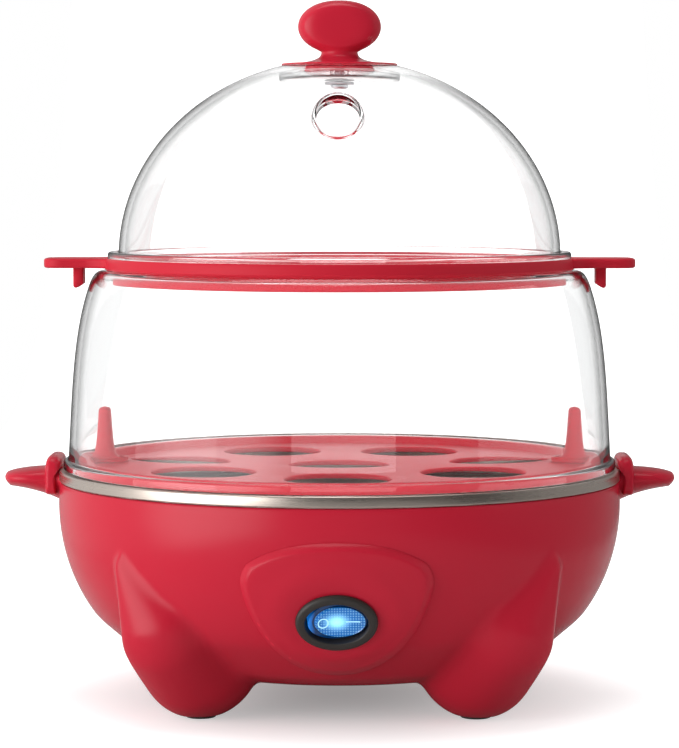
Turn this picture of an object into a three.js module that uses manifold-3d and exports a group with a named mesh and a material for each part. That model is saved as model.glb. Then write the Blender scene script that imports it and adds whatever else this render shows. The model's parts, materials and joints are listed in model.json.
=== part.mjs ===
// Two-tier egg cooker: heated base on four feet, lower egg tray, clear tier, upper egg tray, clear lid.
// Millimetres, +Z up. The origin is on the table, under the middle of the base; the switch faces -Y.
import * as THREE from 'three';
import Module from 'manifold-3d';
import { mergeVertices } from 'three/addons/utils/BufferGeometryUtils.js';
import { ConvexGeometry } from 'three/addons/geometries/ConvexGeometry.js';

const wasm = await Module();
wasm.setup();

// ---------------------------------------------------------------- driving dimensions
const fitGap = 0.3;              // running gap between pieces that touch
const turnSides = 36;            // sides of the large round pieces
const trimSides = 20;            // sides of the middling round pieces
const smallSides = 12;           // sides of the small round pieces

// base shell: a bowl with a flat underside and a short upright collar
const undersideHeight = 11.5;    // table to the flat underside
const bowlDepth = 54.5;          // underside to the widest line
const collarHeight = 7.2;        // widest line to the top of the shell
const bowlRadius = 94.3;
const bowlFloorRadius = 49.3;
const shellWall = 2.5;
const collarTaper = 0.2;
const shelfWidth = 3.0;          // ledge inside the collar that carries the seal
const shelfThickness = 1.8;

// feet: each is the hull of three balls down one spine
const footOut = 13.7;            // foot ball's centre beyond the edge of the flat underside
const footBall = 19.5;
const footSink = 1.4;            // how far the ball is cut off below
const kneeIn = 20.3;             // knee ball's centre inside the widest line
const kneeBall = 17.5;
const kneeRise = 15.5;           // above the underside
const hipIn = 3.8;
const hipBall = 5;
const hipRise = 38.5;
const footWall = 3.4;
const hipPull = 0.7;             // how much of that wall the hip ball gives way inside
const padRadius = 5.0;
const padThickness = 2.0;
const padProud = 0.6;            // how far a pad stands out of its foot

// bottom cover
const coverInset = 5.6;          // cover's edge inside the edge of the flat underside
const coverThickness = 1.7;
const ledgeWidth = 4.0;
const ledgeThickness = 2.1;
const coverScrewInset = 5.2;
const coverBossRadius = 4.2;
const coverBossHeight = 8.0;
const screwShank = 1.5;
const screwHead = 3.0;
const screwHeadHeight = 1.3;
const screwBite = 10;            // shank of the carrier's screws

// heating plate: pressed steel pan with an upright band round its rim
const bandHeight = 3.5;
const bandInset = 0.1;           // band inside the shell's widest line
const sheet = 0.8;
const rimWidth = 8.2;
const panDepth = 15;
const panCorner = 5;
const studRing = 58;
const studRadius = 2.0;
const studLength = 12.5;
const studEnd = 1.2;             // thread that shows past the nut
const carrierThickness = 1.5;
const carrierWidth = 13;
const pillarRing = 59;
const pillarRadius = 4;
const nutRadius = 3.6;
const nutHeight = 3.2;
const sealWidth = 2.5;

// heater and controls under the plate
const elementRing = 42;
const elementTube = 3.3;
const elementGap = 50;           // degrees left open for the two cold ends
const elementDrop = 9;
const elementSeat = 0.7;         // clearance between the element and the pan at its bends
const thermostatRadius = 8;
const thermostatHeight = 8;
const strapWidth = 12;
const strapThickness = 0.9;
const fuseRadius = 2;
const fuseLength = 11;
const fuseOffset = 22;
const buzzerRadius = 9;
const buzzerHeight = 12;
const buzzerPlace = [20, -8];
const blockWidth = 24;
const blockDepth = 13;
const blockHeight = 9;
const blockEdge = 10.7;          // block's far side inside the edge of the cover
const leadRadius = 1.2;
const leadEnd = 0.5;             // clearance between a lead's end and its clamp

// cord inlet: a level boss at the back with a bush in it
const inletRise = 22.5;          // its axis above the underside
const inletBossRadius = 10;
const inletBossLength = 15;
const inletBossProud = 2.6;      // boss face beyond the bowl at its top edge
const inletTube = 5.7;
const inletBore = 3.3;
const inletFlange = 9;
const inletFlangeThickness = 2.4;
const inletTail = 1.5;           // bush past the boss inside the shell

// handles with locating ears
const hornLength = 18.7;
const hornWidth = 22;
const hornTipRadius = 2.6;
const hornTop = 4.3;             // top of the horn at its root above the shell's top
const hornRootDrop = 7.5;        // underside of the root below the shell's top
const earThickness = 5.2;
const earWidth = 25;
const earRise = 1.3;             // ear's top above the tier's flange
const earDrop = 5;               // ear's foot below the shell's top
const earLap = 1.3;              // how far the ear's head reaches in over the band
const earFlangeGap = 0.5;        // room between the ear and the tier's flange
const tabWidth = 16;
const tabThickness = 2.6;
const tabHook = 1.2;
const tabDrop = 1.5;             // tab's top below the shell's shelf

// switch panel and rocker switch
const panelTopDrop = 3;          // panel's top below the widest line
const panelShoulderDrop = 10.5;  // its corners below its top
const panelBottomRise = 7;       // its foot above the underside
const panelHalfWidth = 29.9;
const panelCrownDrop = 4.2;      // fall of the bowed top towards its corners
const panelCornerRise = 3.2;     // corner's round above the shoulder
const panelCornerDrop = 3.5;     // and below it
const panelSideDrop = 16;        // shoulder to where the sides turn in
const panelProudTop = 2.0;
const panelProudBottom = 4.2;
const switchRise = 26.5;         // the switch's centre above the underside
const switchTilt = 22;           // degrees that the switch looks down
const switchProud = 2.0;         // seat plane beyond the bowl at the switch's centre
const bezelHalfWidth = 12.8;
const bezelHalfHeight = 9.4;
const bezelThickness = 2.2;
const bezelBevel = 0.8;
const dishMargin = 1.6;          // flat round the bezel
const wellHalfWidth = 9.85;
const wellHalfHeight = 6.6;
const housingWall = 1.7;
const housingDepth = 15;
const wellDepth = 12;
const rockerClearance = 0.65;
const rockerTilt = 7;            // degrees either side of level
const rockerThickness = 7.2;
const rockerProud = 1.4;
const rockerHollow = 38;         // radius of the rocker's hollow face
const rockerHollowDepth = 0.9;
const pivotDepth = 2.6;
const pivotPin = 1.0;
const lampRadius = 1.4;
const lampLength = 7;
const terminalWidth = 4.8;
const terminalThickness = 0.8;
const terminalLength = 6.4;
const terminalPitch = 6;

// egg openings
const eggHole = 17;
const lowerRingCount = 7;
const lowerRingRadius = 56;
const upperRingCount = 5;
const upperRingRadius = 42;

// lower tray
const trayRimHeight = 2.7;
const trayFloor = 2.0;
const trayDrop = 2.4;            // rim top to floor top
const trayPanGap = 0.7;          // room between the tray's step and the pan
const trayBevel = 1.5;
const postInset = 9.2;           // post inside the tray's rim
const postTop = 17.5;            // post above the rim top
const postThickness = 5.4;
const postWidth = 9;
const postFoot = 5.2;
const postFootHeight = 9;
const dishRadius = 7;
const dishWall = 1.4;
const dishHeight = 2.6;

// clear tier
const tierHeight = 66.1;
const tierWall = 1.9;
const tierFlangeInset = 1.6;     // flange inside the steel band
const tierFlangeHeight = 2.9;
const tierFlangeStep = 1.8;      // flange beyond the wall
const tierFootWall = 3.8;
const tierTaper = 2.5;           // wall's lean from its foot to the shoulder
const tierBulge = 0.6;
const shoulderHeight = 18.5;
const shoulderWidth = 8.9;
const tierTopLip = 3.0;          // width of the tier's flat top

// upper tray
const ringInset = 0.7;           // ring inside the tier's top edge
const ringThickness = 2.5;
const skirtDepth = 5.0;
const skirtWall = 2.2;
const skirtGap = 0.5;            // room between the skirt and the tier's opening
const upperFloor = 2.0;
const grabLength = 20.2;
const grabWidth = 22;
const grabThickness = 3.2;
const grabCorner = 6;
const grabFlare = 3;
const grabClearance = 2.0;       // room between the grab tabs and the tier's shoulder
const hookOut = 8.1;             // hook beyond the tier's top edge
const hookThickness = 3.4;
const hookWidth = 9;
const hookLength = 6.7;
const hookSlant = 2.4;

// lid
const lidFlangeInset = 1.1;      // lid inside the red ring
const lidFlangeStep = 3.6;
const lidFlangeHeight = 3.2;
const lidWall = 2.0;
const domeSpring = 1.5;          // ellipse centre above the lid's underside
const crownHeight = 65.0;        // lid underside to its flat crown
const crownCut = 2.5;            // how far the flat crown lies under the ellipse's own top
const crownRecess = 18.3;
const crownRecessDepth = 2.9;
const ventRise = 47.1;           // lid underside to the vent's centre
const ventTilt = 18;             // degrees that the vent looks up
const ventBore = 7.1;
const ventWall = 1.5;
const ventProud = 2.0;

// knob
const knobBase = 19.4;
const knobEdge = 0.6;
const knobSpigot = 11.5;
const knobNeck = 6.2;
const knobNeckHeight = 2.9;
const knobNeckLength = 2.6;
const knobFlare = 1.6;
const knobCentreHeight = 12.8;   // crown to the middle of the grip
const knobHalfWidth = 13.9;
const knobHalfDepth = 9.0;
const knobHalfHeight = 8.8;
const knobDish = 2.5;
const knobDishDepth = 5;         // half depth of the ball that hollows each face
const knobScrewLength = 12;
const washerRadius = 5;
const washerThickness = 0.8;

// ---------------------------------------------------------------- heights that follow from them
const widestHeight = undersideHeight + bowlDepth;
const shellTop = widestHeight + collarHeight;
const bandFoot = shellTop + fitGap;
const plateTop = bandFoot + bandHeight;
const panFloor = plateTop - panDepth;
const panUnder = panFloor - sheet;
const trayRimFoot = plateTop + fitGap;
const trayRimTop = trayRimFoot + trayRimHeight;
const trayFloorTop = trayRimTop - trayDrop;
const tierFootHeight = plateTop + fitGap;
const tierTop = tierFootHeight + tierHeight;
const ringFoot = tierTop + fitGap;
const ringTop = ringFoot + ringThickness;
const lidFoot = ringTop + fitGap;
const crownTop = lidFoot + crownHeight;
const domeRise = crownHeight + crownCut - domeSpring;
const knobFoot = crownTop + fitGap;
const carrierTop = panUnder - studLength + studEnd + nutHeight + carrierThickness;
const carrierFoot = carrierTop - carrierThickness;
const coverTop = undersideHeight + coverThickness;
const coverSeat = coverTop + fitGap;
const panelTop = widestHeight - panelTopDrop;
const panelBottom = undersideHeight + panelBottomRise;
const tabHeight = shellTop - shelfThickness - tabDrop;
const earTop = tierFootHeight + tierFlangeHeight + earRise;

// ---------------------------------------------------------------- radii that follow from them
const footSpread = bowlFloorRadius + footOut;
const coverRadius = bowlFloorRadius - coverInset;
const coverScrewRing = coverRadius - coverScrewInset;
const blockBack = coverRadius - blockEdge - blockDepth;
const bandRadius = bowlRadius - bandInset;
const panRadius = bandRadius - rimWidth;
const tierFlange = bandRadius - tierFlangeInset;
const tierFoot = tierFlange - tierFlangeStep;
const tierWaist = tierFoot - tierTaper;
const tierTopRadius = tierWaist - shoulderWidth;
const tierTopOpening = tierTopRadius - tierTopLip;
const trayRimRadius = tierFlange - tierFootWall - fitGap;
const postOffset = trayRimRadius - postInset;
const ringRadius = tierTopRadius - ringInset;
const grabReach = ringRadius + grabLength;
const hookOffset = tierTopRadius + hookOut;
const lidFlange = ringRadius - lidFlangeInset;
const lidRadius = lidFlange - lidFlangeStep;
const earRoot = bowlRadius + fitGap;
const hornReach = earRoot + hornLength;

// outer radius of the bowl at a height under its widest line
const bowlAt = (height) => bowlFloorRadius
  + (bowlRadius - bowlFloorRadius) * Math.sqrt(1 - ((widestHeight - height) / bowlDepth) ** 2);

// ---------------------------------------------------------------- finishes
const finishes = {
  redPlastic: { color: 0xc32a40, roughness: 0.28, metalness: 0 },
  redTray: { color: 0xb8283c, roughness: 0.35, metalness: 0 },
  clear: { color: 0xf4f6f6, roughness: 0.06, metalness: 0, transparent: true, opacity: 0.3 },
  steel: { color: 0xb9b4ab, roughness: 0.32, metalness: 1 },
  zinc: { color: 0xa9abad, roughness: 0.45, metalness: 0.9 },
  blackPlastic: { color: 0x2b2825, roughness: 0.45, metalness: 0 },
  blueLens: { color: 0x2f86e6, roughness: 0.2, metalness: 0, emissive: 0x1565c8 },
  silicone: { color: 0xd9d6cf, roughness: 0.7, metalness: 0 },
  rubber: { color: 0x35322f, roughness: 0.85, metalness: 0 },
  ceramicWhite: { color: 0xe9e6df, roughness: 0.6, metalness: 0 },
  leadWhite: { color: 0xe2e0dc, roughness: 0.6, metalness: 0 },
  leadBlue: { color: 0x2c59a8, roughness: 0.6, metalness: 0 },
  leadBrown: { color: 0x6b4026, roughness: 0.6, metalness: 0 },
};

// ---------------------------------------------------------------- solid helpers
const turn = (degrees) => THREE.MathUtils.degToRad(degrees);

function toSolid(geometry) {
  const loose = geometry.clone();
  loose.deleteAttribute('normal');
  loose.deleteAttribute('uv');
  const merged = mergeVertices(loose, 1e-4);
  const corners = merged.index.array;
  const kept = [];
  for (let i = 0; i < corners.length; i += 3) {
    const [a, b, c] = [corners[i], corners[i + 1], corners[i + 2]];
    if (a !== b && b !== c && c !== a) kept.push(a, b, c);
  }
  const mesh = new wasm.Mesh({
    numProp: 3,
    vertProperties: new Float32Array(merged.attributes.position.array),
    triVerts: new Uint32Array(kept),
  });
  return new wasm.Manifold(mesh);
}

function toGeometry(solid) {
  const mesh = solid.getMesh();
  const geometry = new THREE.BufferGeometry();
  geometry.setAttribute('position', new THREE.BufferAttribute(mesh.vertProperties, 3));
  geometry.setIndex(new THREE.BufferAttribute(mesh.triVerts, 1));
  return geometry;
}

const fold = (operation) => (first, ...rest) => toGeometry(
  rest.reduce((sum, geometry) => sum[operation](toSolid(geometry)), toSolid(first)));
const join = fold('add');
const cut = fold('subtract');
const common = fold('intersect');

// a profile of [radius, height] corners turned about Z; it starts and ends on the axis or closes on itself.
// The corners run anticlockwise, radius to the right and height up.
function turned(corners, sides = turnSides) {
  const points = corners.map(([r, z]) => new THREE.Vector2(r, z));
  const onAxis = corners[0][0] === 0 && corners[corners.length - 1][0] === 0;
  if (!onAxis) points.push(points[0].clone());
  return new THREE.LatheGeometry(points, sides).rotateX(Math.PI / 2).rotateZ(Math.PI / sides);
}

function rod(radius, low, high, x = 0, y = 0, sides = smallSides) {
  return new THREE.CylinderGeometry(radius, radius, high - low, sides)
    .rotateX(Math.PI / 2)
    .translate(x, y, (low + high) / 2);
}

function block(x0, x1, y0, y1, z0, z1) {
  return new THREE.BoxGeometry(x1 - x0, y1 - y0, z1 - z0)
    .translate((x0 + x1) / 2, (y0 + y1) / 2, (z0 + z1) / 2);
}

function prism(shape, low, high, curveSegments = 8) {
  return new THREE.ExtrudeGeometry(shape, { depth: high - low, bevelEnabled: false, curveSegments })
    .translate(0, 0, low);
}

function oval(halfWidth, halfHeight, low, high, sides = 22) {
  return rod(1, low, high, 0, 0, sides).scale(halfWidth, halfHeight, 1);
}

function wire(points, radius, steps = 16, sides = 6) {
  const section = new THREE.Shape(new THREE.Path().absarc(0, 0, radius, 0, 2 * Math.PI).getPoints(sides / 2));
  const route = new THREE.CatmullRomCurve3(points.map((p) => new THREE.Vector3(...p)));
  return new THREE.ExtrudeGeometry(section, { steps, extrudePath: route });
}

const model = new THREE.Group();

function add(name, geometry, finish, parent) {
  const mesh = new THREE.Mesh(geometry, new THREE.MeshStandardMaterial(finishes[finish]));
  mesh.name = name;
  parent.add(mesh);
}

function assembly(parent = model) {
  const group = new THREE.Group();
  parent.add(group);
  return group;
}

// places round a ring: angles are degrees anticlockwise from +X, seen from above
const ringPlace = (radius, degrees) => [radius * Math.cos(turn(degrees)), radius * Math.sin(turn(degrees))];
const evenly = (count, start) => Array.from({ length: count }, (_, i) => start + (360 * i) / count);

const frontAngle = -90;
const rearAngle = 90;
const footAngles = { front_left: 225, front_right: 315, rear_right: 45, rear_left: 135 };
const pillarAngles = evenly(3, rearAngle);
const studAngles = evenly(3, frontAngle);
const coverScrewAngles = evenly(4, rearAngle);

// ---------------------------------------------------------------- base shell
// quarter ellipse from the flat underside to the widest line, moved outwards by grow
function bowlArc(grow, steps = 6) {
  return Array.from({ length: steps + 1 }, (_, i) => {
    const angle = (Math.PI / 2) * (1 - i / steps);
    const radius = bowlFloorRadius + (bowlRadius - bowlFloorRadius + grow) * Math.cos(angle);
    return [radius, widestHeight - (bowlDepth + grow) * Math.sin(angle)];
  });
}

const bowlOutside = () => turned([
  [0, undersideHeight],
  ...bowlArc(0),
  [bowlRadius - collarTaper, shellTop],
  [0, shellTop],
]);

const bowlInside = () => turned([
  [0, undersideHeight + shellWall],
  ...bowlArc(-shellWall),
  [bowlRadius - shellWall, shellTop - shelfThickness],
  [bowlRadius - shellWall - shelfWidth, shellTop - shelfThickness],
  [bowlRadius - shellWall - shelfWidth, shellTop + 1],
  [0, shellTop + 1],
]);

// one leg: hull of the foot, knee and hip balls, each made smaller by thin
function leg(degrees, thin) {
  const balls = [
    [footBall - thin, footSpread, padProud + footBall - footSink],
    [kneeBall - thin, bowlRadius - kneeIn, undersideHeight + kneeRise],
    [hipBall - thin, bowlRadius - hipIn - hipPull * thin, undersideHeight + hipRise - hipPull * thin],
  ];
  const points = balls.flatMap(([radius, spread, height]) => {
    const ball = new THREE.IcosahedronGeometry(radius, thin > 0 ? 0 : 1).translate(spread, 0, height);
    const place = ball.attributes.position;
    return Array.from({ length: place.count }, (_, i) => new THREE.Vector3().fromBufferAttribute(place, i));
  });
  return new ConvexGeometry(points).rotateZ(turn(degrees));
}

// the switch's own frame: local Z points out of the panel, local Y up along it
const switchFrame = new THREE.Matrix4()
  .makeRotationX(turn(90 + switchTilt))
  .setPosition(0, -(bowlAt(undersideHeight + switchRise) + switchProud), undersideHeight + switchRise);

const switchHole = () => oval(
  wellHalfWidth + housingWall + fitGap,
  wellHalfHeight + housingWall + fitGap,
  -housingDepth - 5,
  bezelThickness + 10,
).applyMatrix4(switchFrame);

// the cord inlet's own frame: local Z points straight out of its boss at the back
const inletFace = bowlAt(undersideHeight + inletRise + inletBossRadius) + inletBossProud;
const inletFrame = new THREE.Matrix4()
  .makeRotationX(turn(-90))
  .setPosition(0, inletFace, undersideHeight + inletRise);

function baseShell() {
  const angles = Object.values(footAngles);
  const outside = join(bowlOutside(), ...angles.map((a) => leg(a, 0)));
  const hollow = join(bowlInside(), ...angles.map((a) => leg(a, footWall)));
  const ledge = turned([
    [coverRadius - ledgeWidth, undersideHeight],
    [bowlFloorRadius, undersideHeight],
    [bowlFloorRadius, coverSeat + ledgeThickness],
    [coverRadius - ledgeWidth, coverSeat + ledgeThickness],
  ]);
  const bosses = coverScrewAngles.map((a) => rod(
    coverBossRadius, coverSeat, coverSeat + coverBossHeight, ...ringPlace(coverScrewRing, a)));
  const pillars = pillarAngles.map((a) => common(outside, rod(
    pillarRadius, 0, carrierFoot - fitGap, ...ringPlace(pillarRing, a))));
  const inletBoss = rod(inletBossRadius, -inletBossLength, 0, 0, 0, trimSides).applyMatrix4(inletFrame);
  const inletHole = rod(inletTube + fitGap, -inletBossLength - 5, 1, 0, 0, trimSides)
    .applyMatrix4(inletFrame);
  const body = join(cut(outside, hollow), ledge, ...bosses, ...pillars, inletBoss);
  const coverOpening = rod(coverRadius + fitGap, undersideHeight - 1, coverSeat, 0, 0, turnSides);
  const innerOpening = rod(coverRadius - ledgeWidth, coverSeat - 1, coverSeat + 1, 0, 0, turnSides);
  const coverHoleTop = coverSeat + coverBossHeight - screwShank;
  const coverHoles = coverScrewAngles.map((a) => rod(
    screwShank + fitGap, coverSeat - 1, coverHoleTop, ...ringPlace(coverScrewRing, a)));
  const pillarHoles = pillarAngles.map((a) => rod(
    screwShank + fitGap, carrierTop - screwBite - 2, carrierFoot + 1, ...ringPlace(pillarRing, a)));
  const padSeats = angles.map((a) => rod(
    padRadius + fitGap, -1, padThickness + fitGap, ...ringPlace(footSpread, a)));
  const tabSlots = [-1, 1].map((side) => tabSlot(side));
  const table = block(-bowlRadius, bowlRadius, -bowlRadius, bowlRadius, -footBall, padProud);
  return cut(body, coverOpening, cut(innerOpening, ...bosses), switchHole(), inletHole,
    ...coverHoles, ...pillarHoles, ...padSeats, ...tabSlots, table);
}

// slot in the collar for a handle's snap tab
function tabSlot(side) {
  const half = tabWidth / 2 + fitGap;
  return block(bowlRadius - shellWall - shelfWidth, bowlRadius + 2, -half, half,
    tabHeight - tabThickness - fitGap, tabHeight + fitGap).rotateZ(side < 0 ? Math.PI : 0);
}

function bottomCover() {
  const plate = rod(coverRadius, undersideHeight, undersideHeight + coverThickness, 0, 0, turnSides);
  const holes = coverScrewAngles.map((a) => rod(
    screwShank + fitGap, undersideHeight - 1, undersideHeight + coverThickness + 1,
    ...ringPlace(coverScrewRing, a)));
  return cut(plate, ...holes);
}

// a pan head screw standing on its head; up = 1 points the shank up
function screw(headFace, up, length, x, y) {
  const head = rod(screwHead, 0, screwHeadHeight).translate(0, 0, -screwHeadHeight);
  const shank = rod(screwShank, -screwHeadHeight / 2, length);
  const whole = join(head, shank);
  return (up > 0 ? whole : whole.rotateX(Math.PI)).translate(x, y, headFace);
}

// ---------------------------------------------------------------- handles
// the horn seen from the side: a tongue that thins and droops to a round tip
function hornSide() {
  const rootHeight = shellTop - hornRootDrop;
  const topHeight = shellTop + hornTop;
  const inside = earRoot - earLap - fitGap;
  const shape = new THREE.Shape();
  shape.moveTo(inside, topHeight);
  const tip = hornTipRadius;
  shape.quadraticCurveTo(hornReach - tip * 2, topHeight - 0.4, hornReach - 1.2, shellTop + tip - 0.5);
  shape.quadraticCurveTo(hornReach + 0.9, shellTop, hornReach - tip + 0.2, shellTop - tip);
  shape.quadraticCurveTo(earRoot + hornLength / 3, shellTop - hornRootDrop / 2, earRoot - 0.2, rootHeight);
  shape.lineTo(inside, rootHeight);
  shape.closePath();
  return new THREE.ExtrudeGeometry(shape, { depth: hornWidth, bevelEnabled: false, curveSegments: 6 })
    .translate(0, 0, -hornWidth / 2)
    .rotateX(Math.PI / 2);
}

// the horn seen from above: straight sides and a wide round end
function hornPlan() {
  const root = earRoot - earThickness;
  const half = hornWidth / 2;
  const straight = hornReach - hornLength * 0.64;
  const bow = hornReach + 4;
  const shape = new THREE.Shape();
  shape.moveTo(root, -half);
  shape.lineTo(straight, -half + 1);
  shape.bezierCurveTo(bow, -half + 1.5, bow, half - 1.5, straight, half - 1);
  shape.lineTo(root, half);
  shape.closePath();
  return prism(shape, shellTop - hornRootDrop - 1, shellTop + hornTop + 1);
}

// the upright ear seen from outside, with round upper corners
function earBlock() {
  const half = earWidth / 2;
  const foot = shellTop - earDrop;
  const round = 5;
  const shape = new THREE.Shape();
  shape.moveTo(-half, foot);
  shape.lineTo(half, foot);
  shape.lineTo(half, earTop - round);
  shape.quadraticCurveTo(half, earTop, half - round, earTop);
  shape.lineTo(-half + round, earTop);
  shape.quadraticCurveTo(-half, earTop, -half, earTop - round);
  shape.closePath();
  const depth = earThickness * 1.6;
  return new THREE.ExtrudeGeometry(shape, { depth, bevelEnabled: false, curveSegments: 4 })
    .rotateX(Math.PI / 2)
    .rotateZ(Math.PI / 2)
    .translate(earRoot - earLap - 1.5, 0, 0);
}

function handle(side) {
  const earOutside = rod(earRoot + earThickness - earLap + 0.4, 0, earTop + 1, 0, 0, turnSides * 2);
  const tabInside = bowlRadius - shellWall - 1.9;
  const tab = block(tabInside, earRoot + 1, -tabWidth / 2, tabWidth / 2, tabHeight - tabThickness, tabHeight);
  const hook = block(tabInside, tabInside + tabHook, -tabWidth / 2, tabWidth / 2,
    tabHeight - tabThickness - tabHook, tabHeight);
  const overBand = plateTop + fitGap;
  const clearBand = turned([
    [0, 0],
    [earRoot, 0],
    [earRoot, overBand],
    [tierFlange + earFlangeGap, overBand],
    [tierFlange + earFlangeGap, earTop + 1],
    [0, earTop + 1],
  ], turnSides * 2);
  const body = cut(join(common(hornSide(), hornPlan()), common(earBlock(), earOutside)), clearBand);
  return join(body, tab, hook).rotateZ(side < 0 ? Math.PI : 0);
}

// ---------------------------------------------------------------- heating plate and what hangs under it
function heatingPlate() {
  const pan = turned([
    [0, panUnder],
    [panRadius - panCorner, panUnder],
    [panRadius + sheet, panUnder + panCorner],
    [panRadius + sheet, plateTop - sheet],
    [bandRadius - sheet, plateTop - sheet],
    [bandRadius - sheet, bandFoot],
    [bandRadius, bandFoot],
    [bandRadius, plateTop],
    [panRadius, plateTop],
    [panRadius, panFloor + panCorner],
    [panRadius - panCorner, panFloor],
    [0, panFloor],
  ]);
  const studs = studAngles.map((a) => rod(
    studRadius, panUnder - studLength, panFloor - sheet / 2, ...ringPlace(studRing, a)));
  return join(pan, ...studs);
}

function plateSeal() {
  const outer = bandRadius - sheet - fitGap;
  return turned([
    [outer - sealWidth, shellTop + fitGap / 3],
    [outer, shellTop + fitGap / 3],
    [outer, plateTop - sheet - fitGap],
    [outer - sealWidth, plateTop - sheet - fitGap],
  ]);
}

function plateCarrier() {
  const inner = studRing - carrierWidth / 2;
  const outer = studRing + carrierWidth / 2;
  const ring = turned([[inner, carrierFoot], [outer, carrierFoot], [outer, carrierTop], [inner, carrierTop]]);
  const holes = [
    ...studAngles.map((a) => ringPlace(studRing, a)),
    ...pillarAngles.map((a) => ringPlace(pillarRing, a)),
  ].map(([x, y]) => rod(studRadius + fitGap, carrierFoot - 1, carrierTop + 1, x, y));
  return cut(ring, ...holes);
}

function plateNut(degrees) {
  const top = carrierFoot - fitGap;
  const [x, y] = ringPlace(studRing, degrees);
  return cut(rod(nutRadius, top - nutHeight, top, x, y, 6),
    rod(studRadius + fitGap, top - nutHeight - 1, top + 1, x, y));
}

// where the element's two cold ends turn down, as angles from its gap's middle
const coldEndTurn = turn(elementGap / 2) - 0.09;
const elementLevel = panUnder - elementSeat - elementTube;

function heatingElement() {
  const start = turn(frontAngle + elementGap / 2);
  const sweep = turn(360 - elementGap);
  const at = (angle, level) => new THREE.Vector3(
    elementRing * Math.cos(angle), elementRing * Math.sin(angle), level);
  const arc = Array.from({ length: 13 }, (_, i) => at(start + (sweep * i) / 12, elementLevel));
  const half = elementLevel - elementDrop / 2.2;
  const low = elementLevel - elementDrop;
  const first = turn(frontAngle) + coldEndTurn;
  const last = turn(frontAngle) - coldEndTurn;
  const route = new THREE.CatmullRomCurve3(
    [at(first, low), at(first, half), ...arc, at(last, half), at(last, low)], false, 'centripetal');
  const section = new THREE.Shape(new THREE.Path().absarc(0, 0, elementTube, 0, 2 * Math.PI).getPoints(5));
  return new THREE.ExtrudeGeometry(section, { steps: 30, extrudePath: route });
}

// ---------------------------------------------------------------- switch
const rockerHalfWidth = wellHalfWidth - rockerClearance;
const rockerHalfHeight = wellHalfHeight - fitGap * 1.3;

function switchHousing() {
  const body = oval(wellHalfWidth + housingWall, wellHalfHeight + housingWall, -housingDepth, 1);
  const bezelRim = oval(bezelHalfWidth, bezelHalfHeight, fitGap, bezelThickness - bezelBevel);
  const bezelCrown = oval(bezelHalfWidth - bezelBevel, bezelHalfHeight - bezelBevel, fitGap, bezelThickness);
  const well = oval(wellHalfWidth, wellHalfHeight, -wellDepth, bezelThickness + 1);
  const pinHole = rod(pivotPin + fitGap, -bezelHalfHeight + 1, bezelHalfHeight - 1)
    .rotateX(Math.PI / 2)
    .translate(0, 0, -pivotDepth);
  return cut(join(body, bezelRim, bezelCrown), well, pinHole);
}

function switchRocker() {
  const lens = oval(rockerHalfWidth, rockerHalfHeight, rockerProud - rockerThickness, rockerProud);
  const scoop = rod(rockerHollow, -bezelHalfHeight, bezelHalfHeight, 0, 0, 96)
    .rotateX(Math.PI / 2)
    .translate(0, 0, rockerProud + rockerHollow - rockerHollowDepth);
  const bore = rod(pivotPin + fitGap, -bezelHalfHeight, bezelHalfHeight)
    .rotateX(Math.PI / 2)
    .translate(0, 0, -pivotDepth);
  return cut(lens, scoop, bore).translate(0, 0, pivotDepth);
}

function buildSwitch(parent) {
  const holder = assembly(parent);
  holder.applyMatrix4(switchFrame);
  add('switch_housing', switchHousing(), 'blackPlastic', holder);
  const pinLength = 2 * (wellHalfHeight + housingWall - 0.2);
  add('rocker_pin', rod(pivotPin, -pinLength / 2, pinLength / 2)
    .rotateX(Math.PI / 2).translate(0, 0, -pivotDepth), 'zinc', holder);
  add('rocker_lamp', rod(lampRadius, -lampLength / 2, lampLength / 2)
    .rotateY(Math.PI / 2).translate(0, 0, -wellDepth + lampRadius + fitGap), 'blueLens', holder);
  [-1, 0, 1].forEach((place, i) => {
    const x = place * terminalPitch;
    const back = -housingDepth - fitGap;
    add(`switch_terminal_${i + 1}`, block(x - terminalThickness / 2, x + terminalThickness / 2,
      -terminalWidth / 2, terminalWidth / 2, back - terminalLength, back), 'zinc', holder);
  });
  const swing = assembly(holder);
  swing.position.set(0, 0, -pivotDepth);
  swing.rotation.y = turn(rockerTilt);
  add('switch_rocker', switchRocker(), 'blueLens', swing);
}

// ---------------------------------------------------------------- switch panel
// a shield: a bowed top, two round shoulders and sides that run together at the foot
function panelOutline() {
  const side = panelHalfWidth;
  const shoulder = panelTop - panelShoulderDrop;
  const shape = new THREE.Shape();
  shape.moveTo(0, panelTop);
  const crown = panelTop - panelCrownDrop;
  const rise = shoulder + panelCornerRise;
  const drop = shoulder - panelCornerDrop;
  const turnIn = shoulder - panelSideDrop;
  shape.bezierCurveTo(side * 0.5, panelTop, side * 0.8, crown, side * 0.93, rise);
  shape.quadraticCurveTo(side * 1.01, shoulder, side, drop);
  shape.bezierCurveTo(side * 0.93, turnIn, side * 0.6, panelBottom, 0, panelBottom);
  shape.bezierCurveTo(-side * 0.6, panelBottom, -side * 0.93, turnIn, -side, drop);
  shape.quadraticCurveTo(-side * 1.01, shoulder, -side * 0.93, rise);
  shape.bezierCurveTo(-side * 0.8, crown, -side * 0.5, panelTop, 0, panelTop);
  return shape;
}

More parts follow.
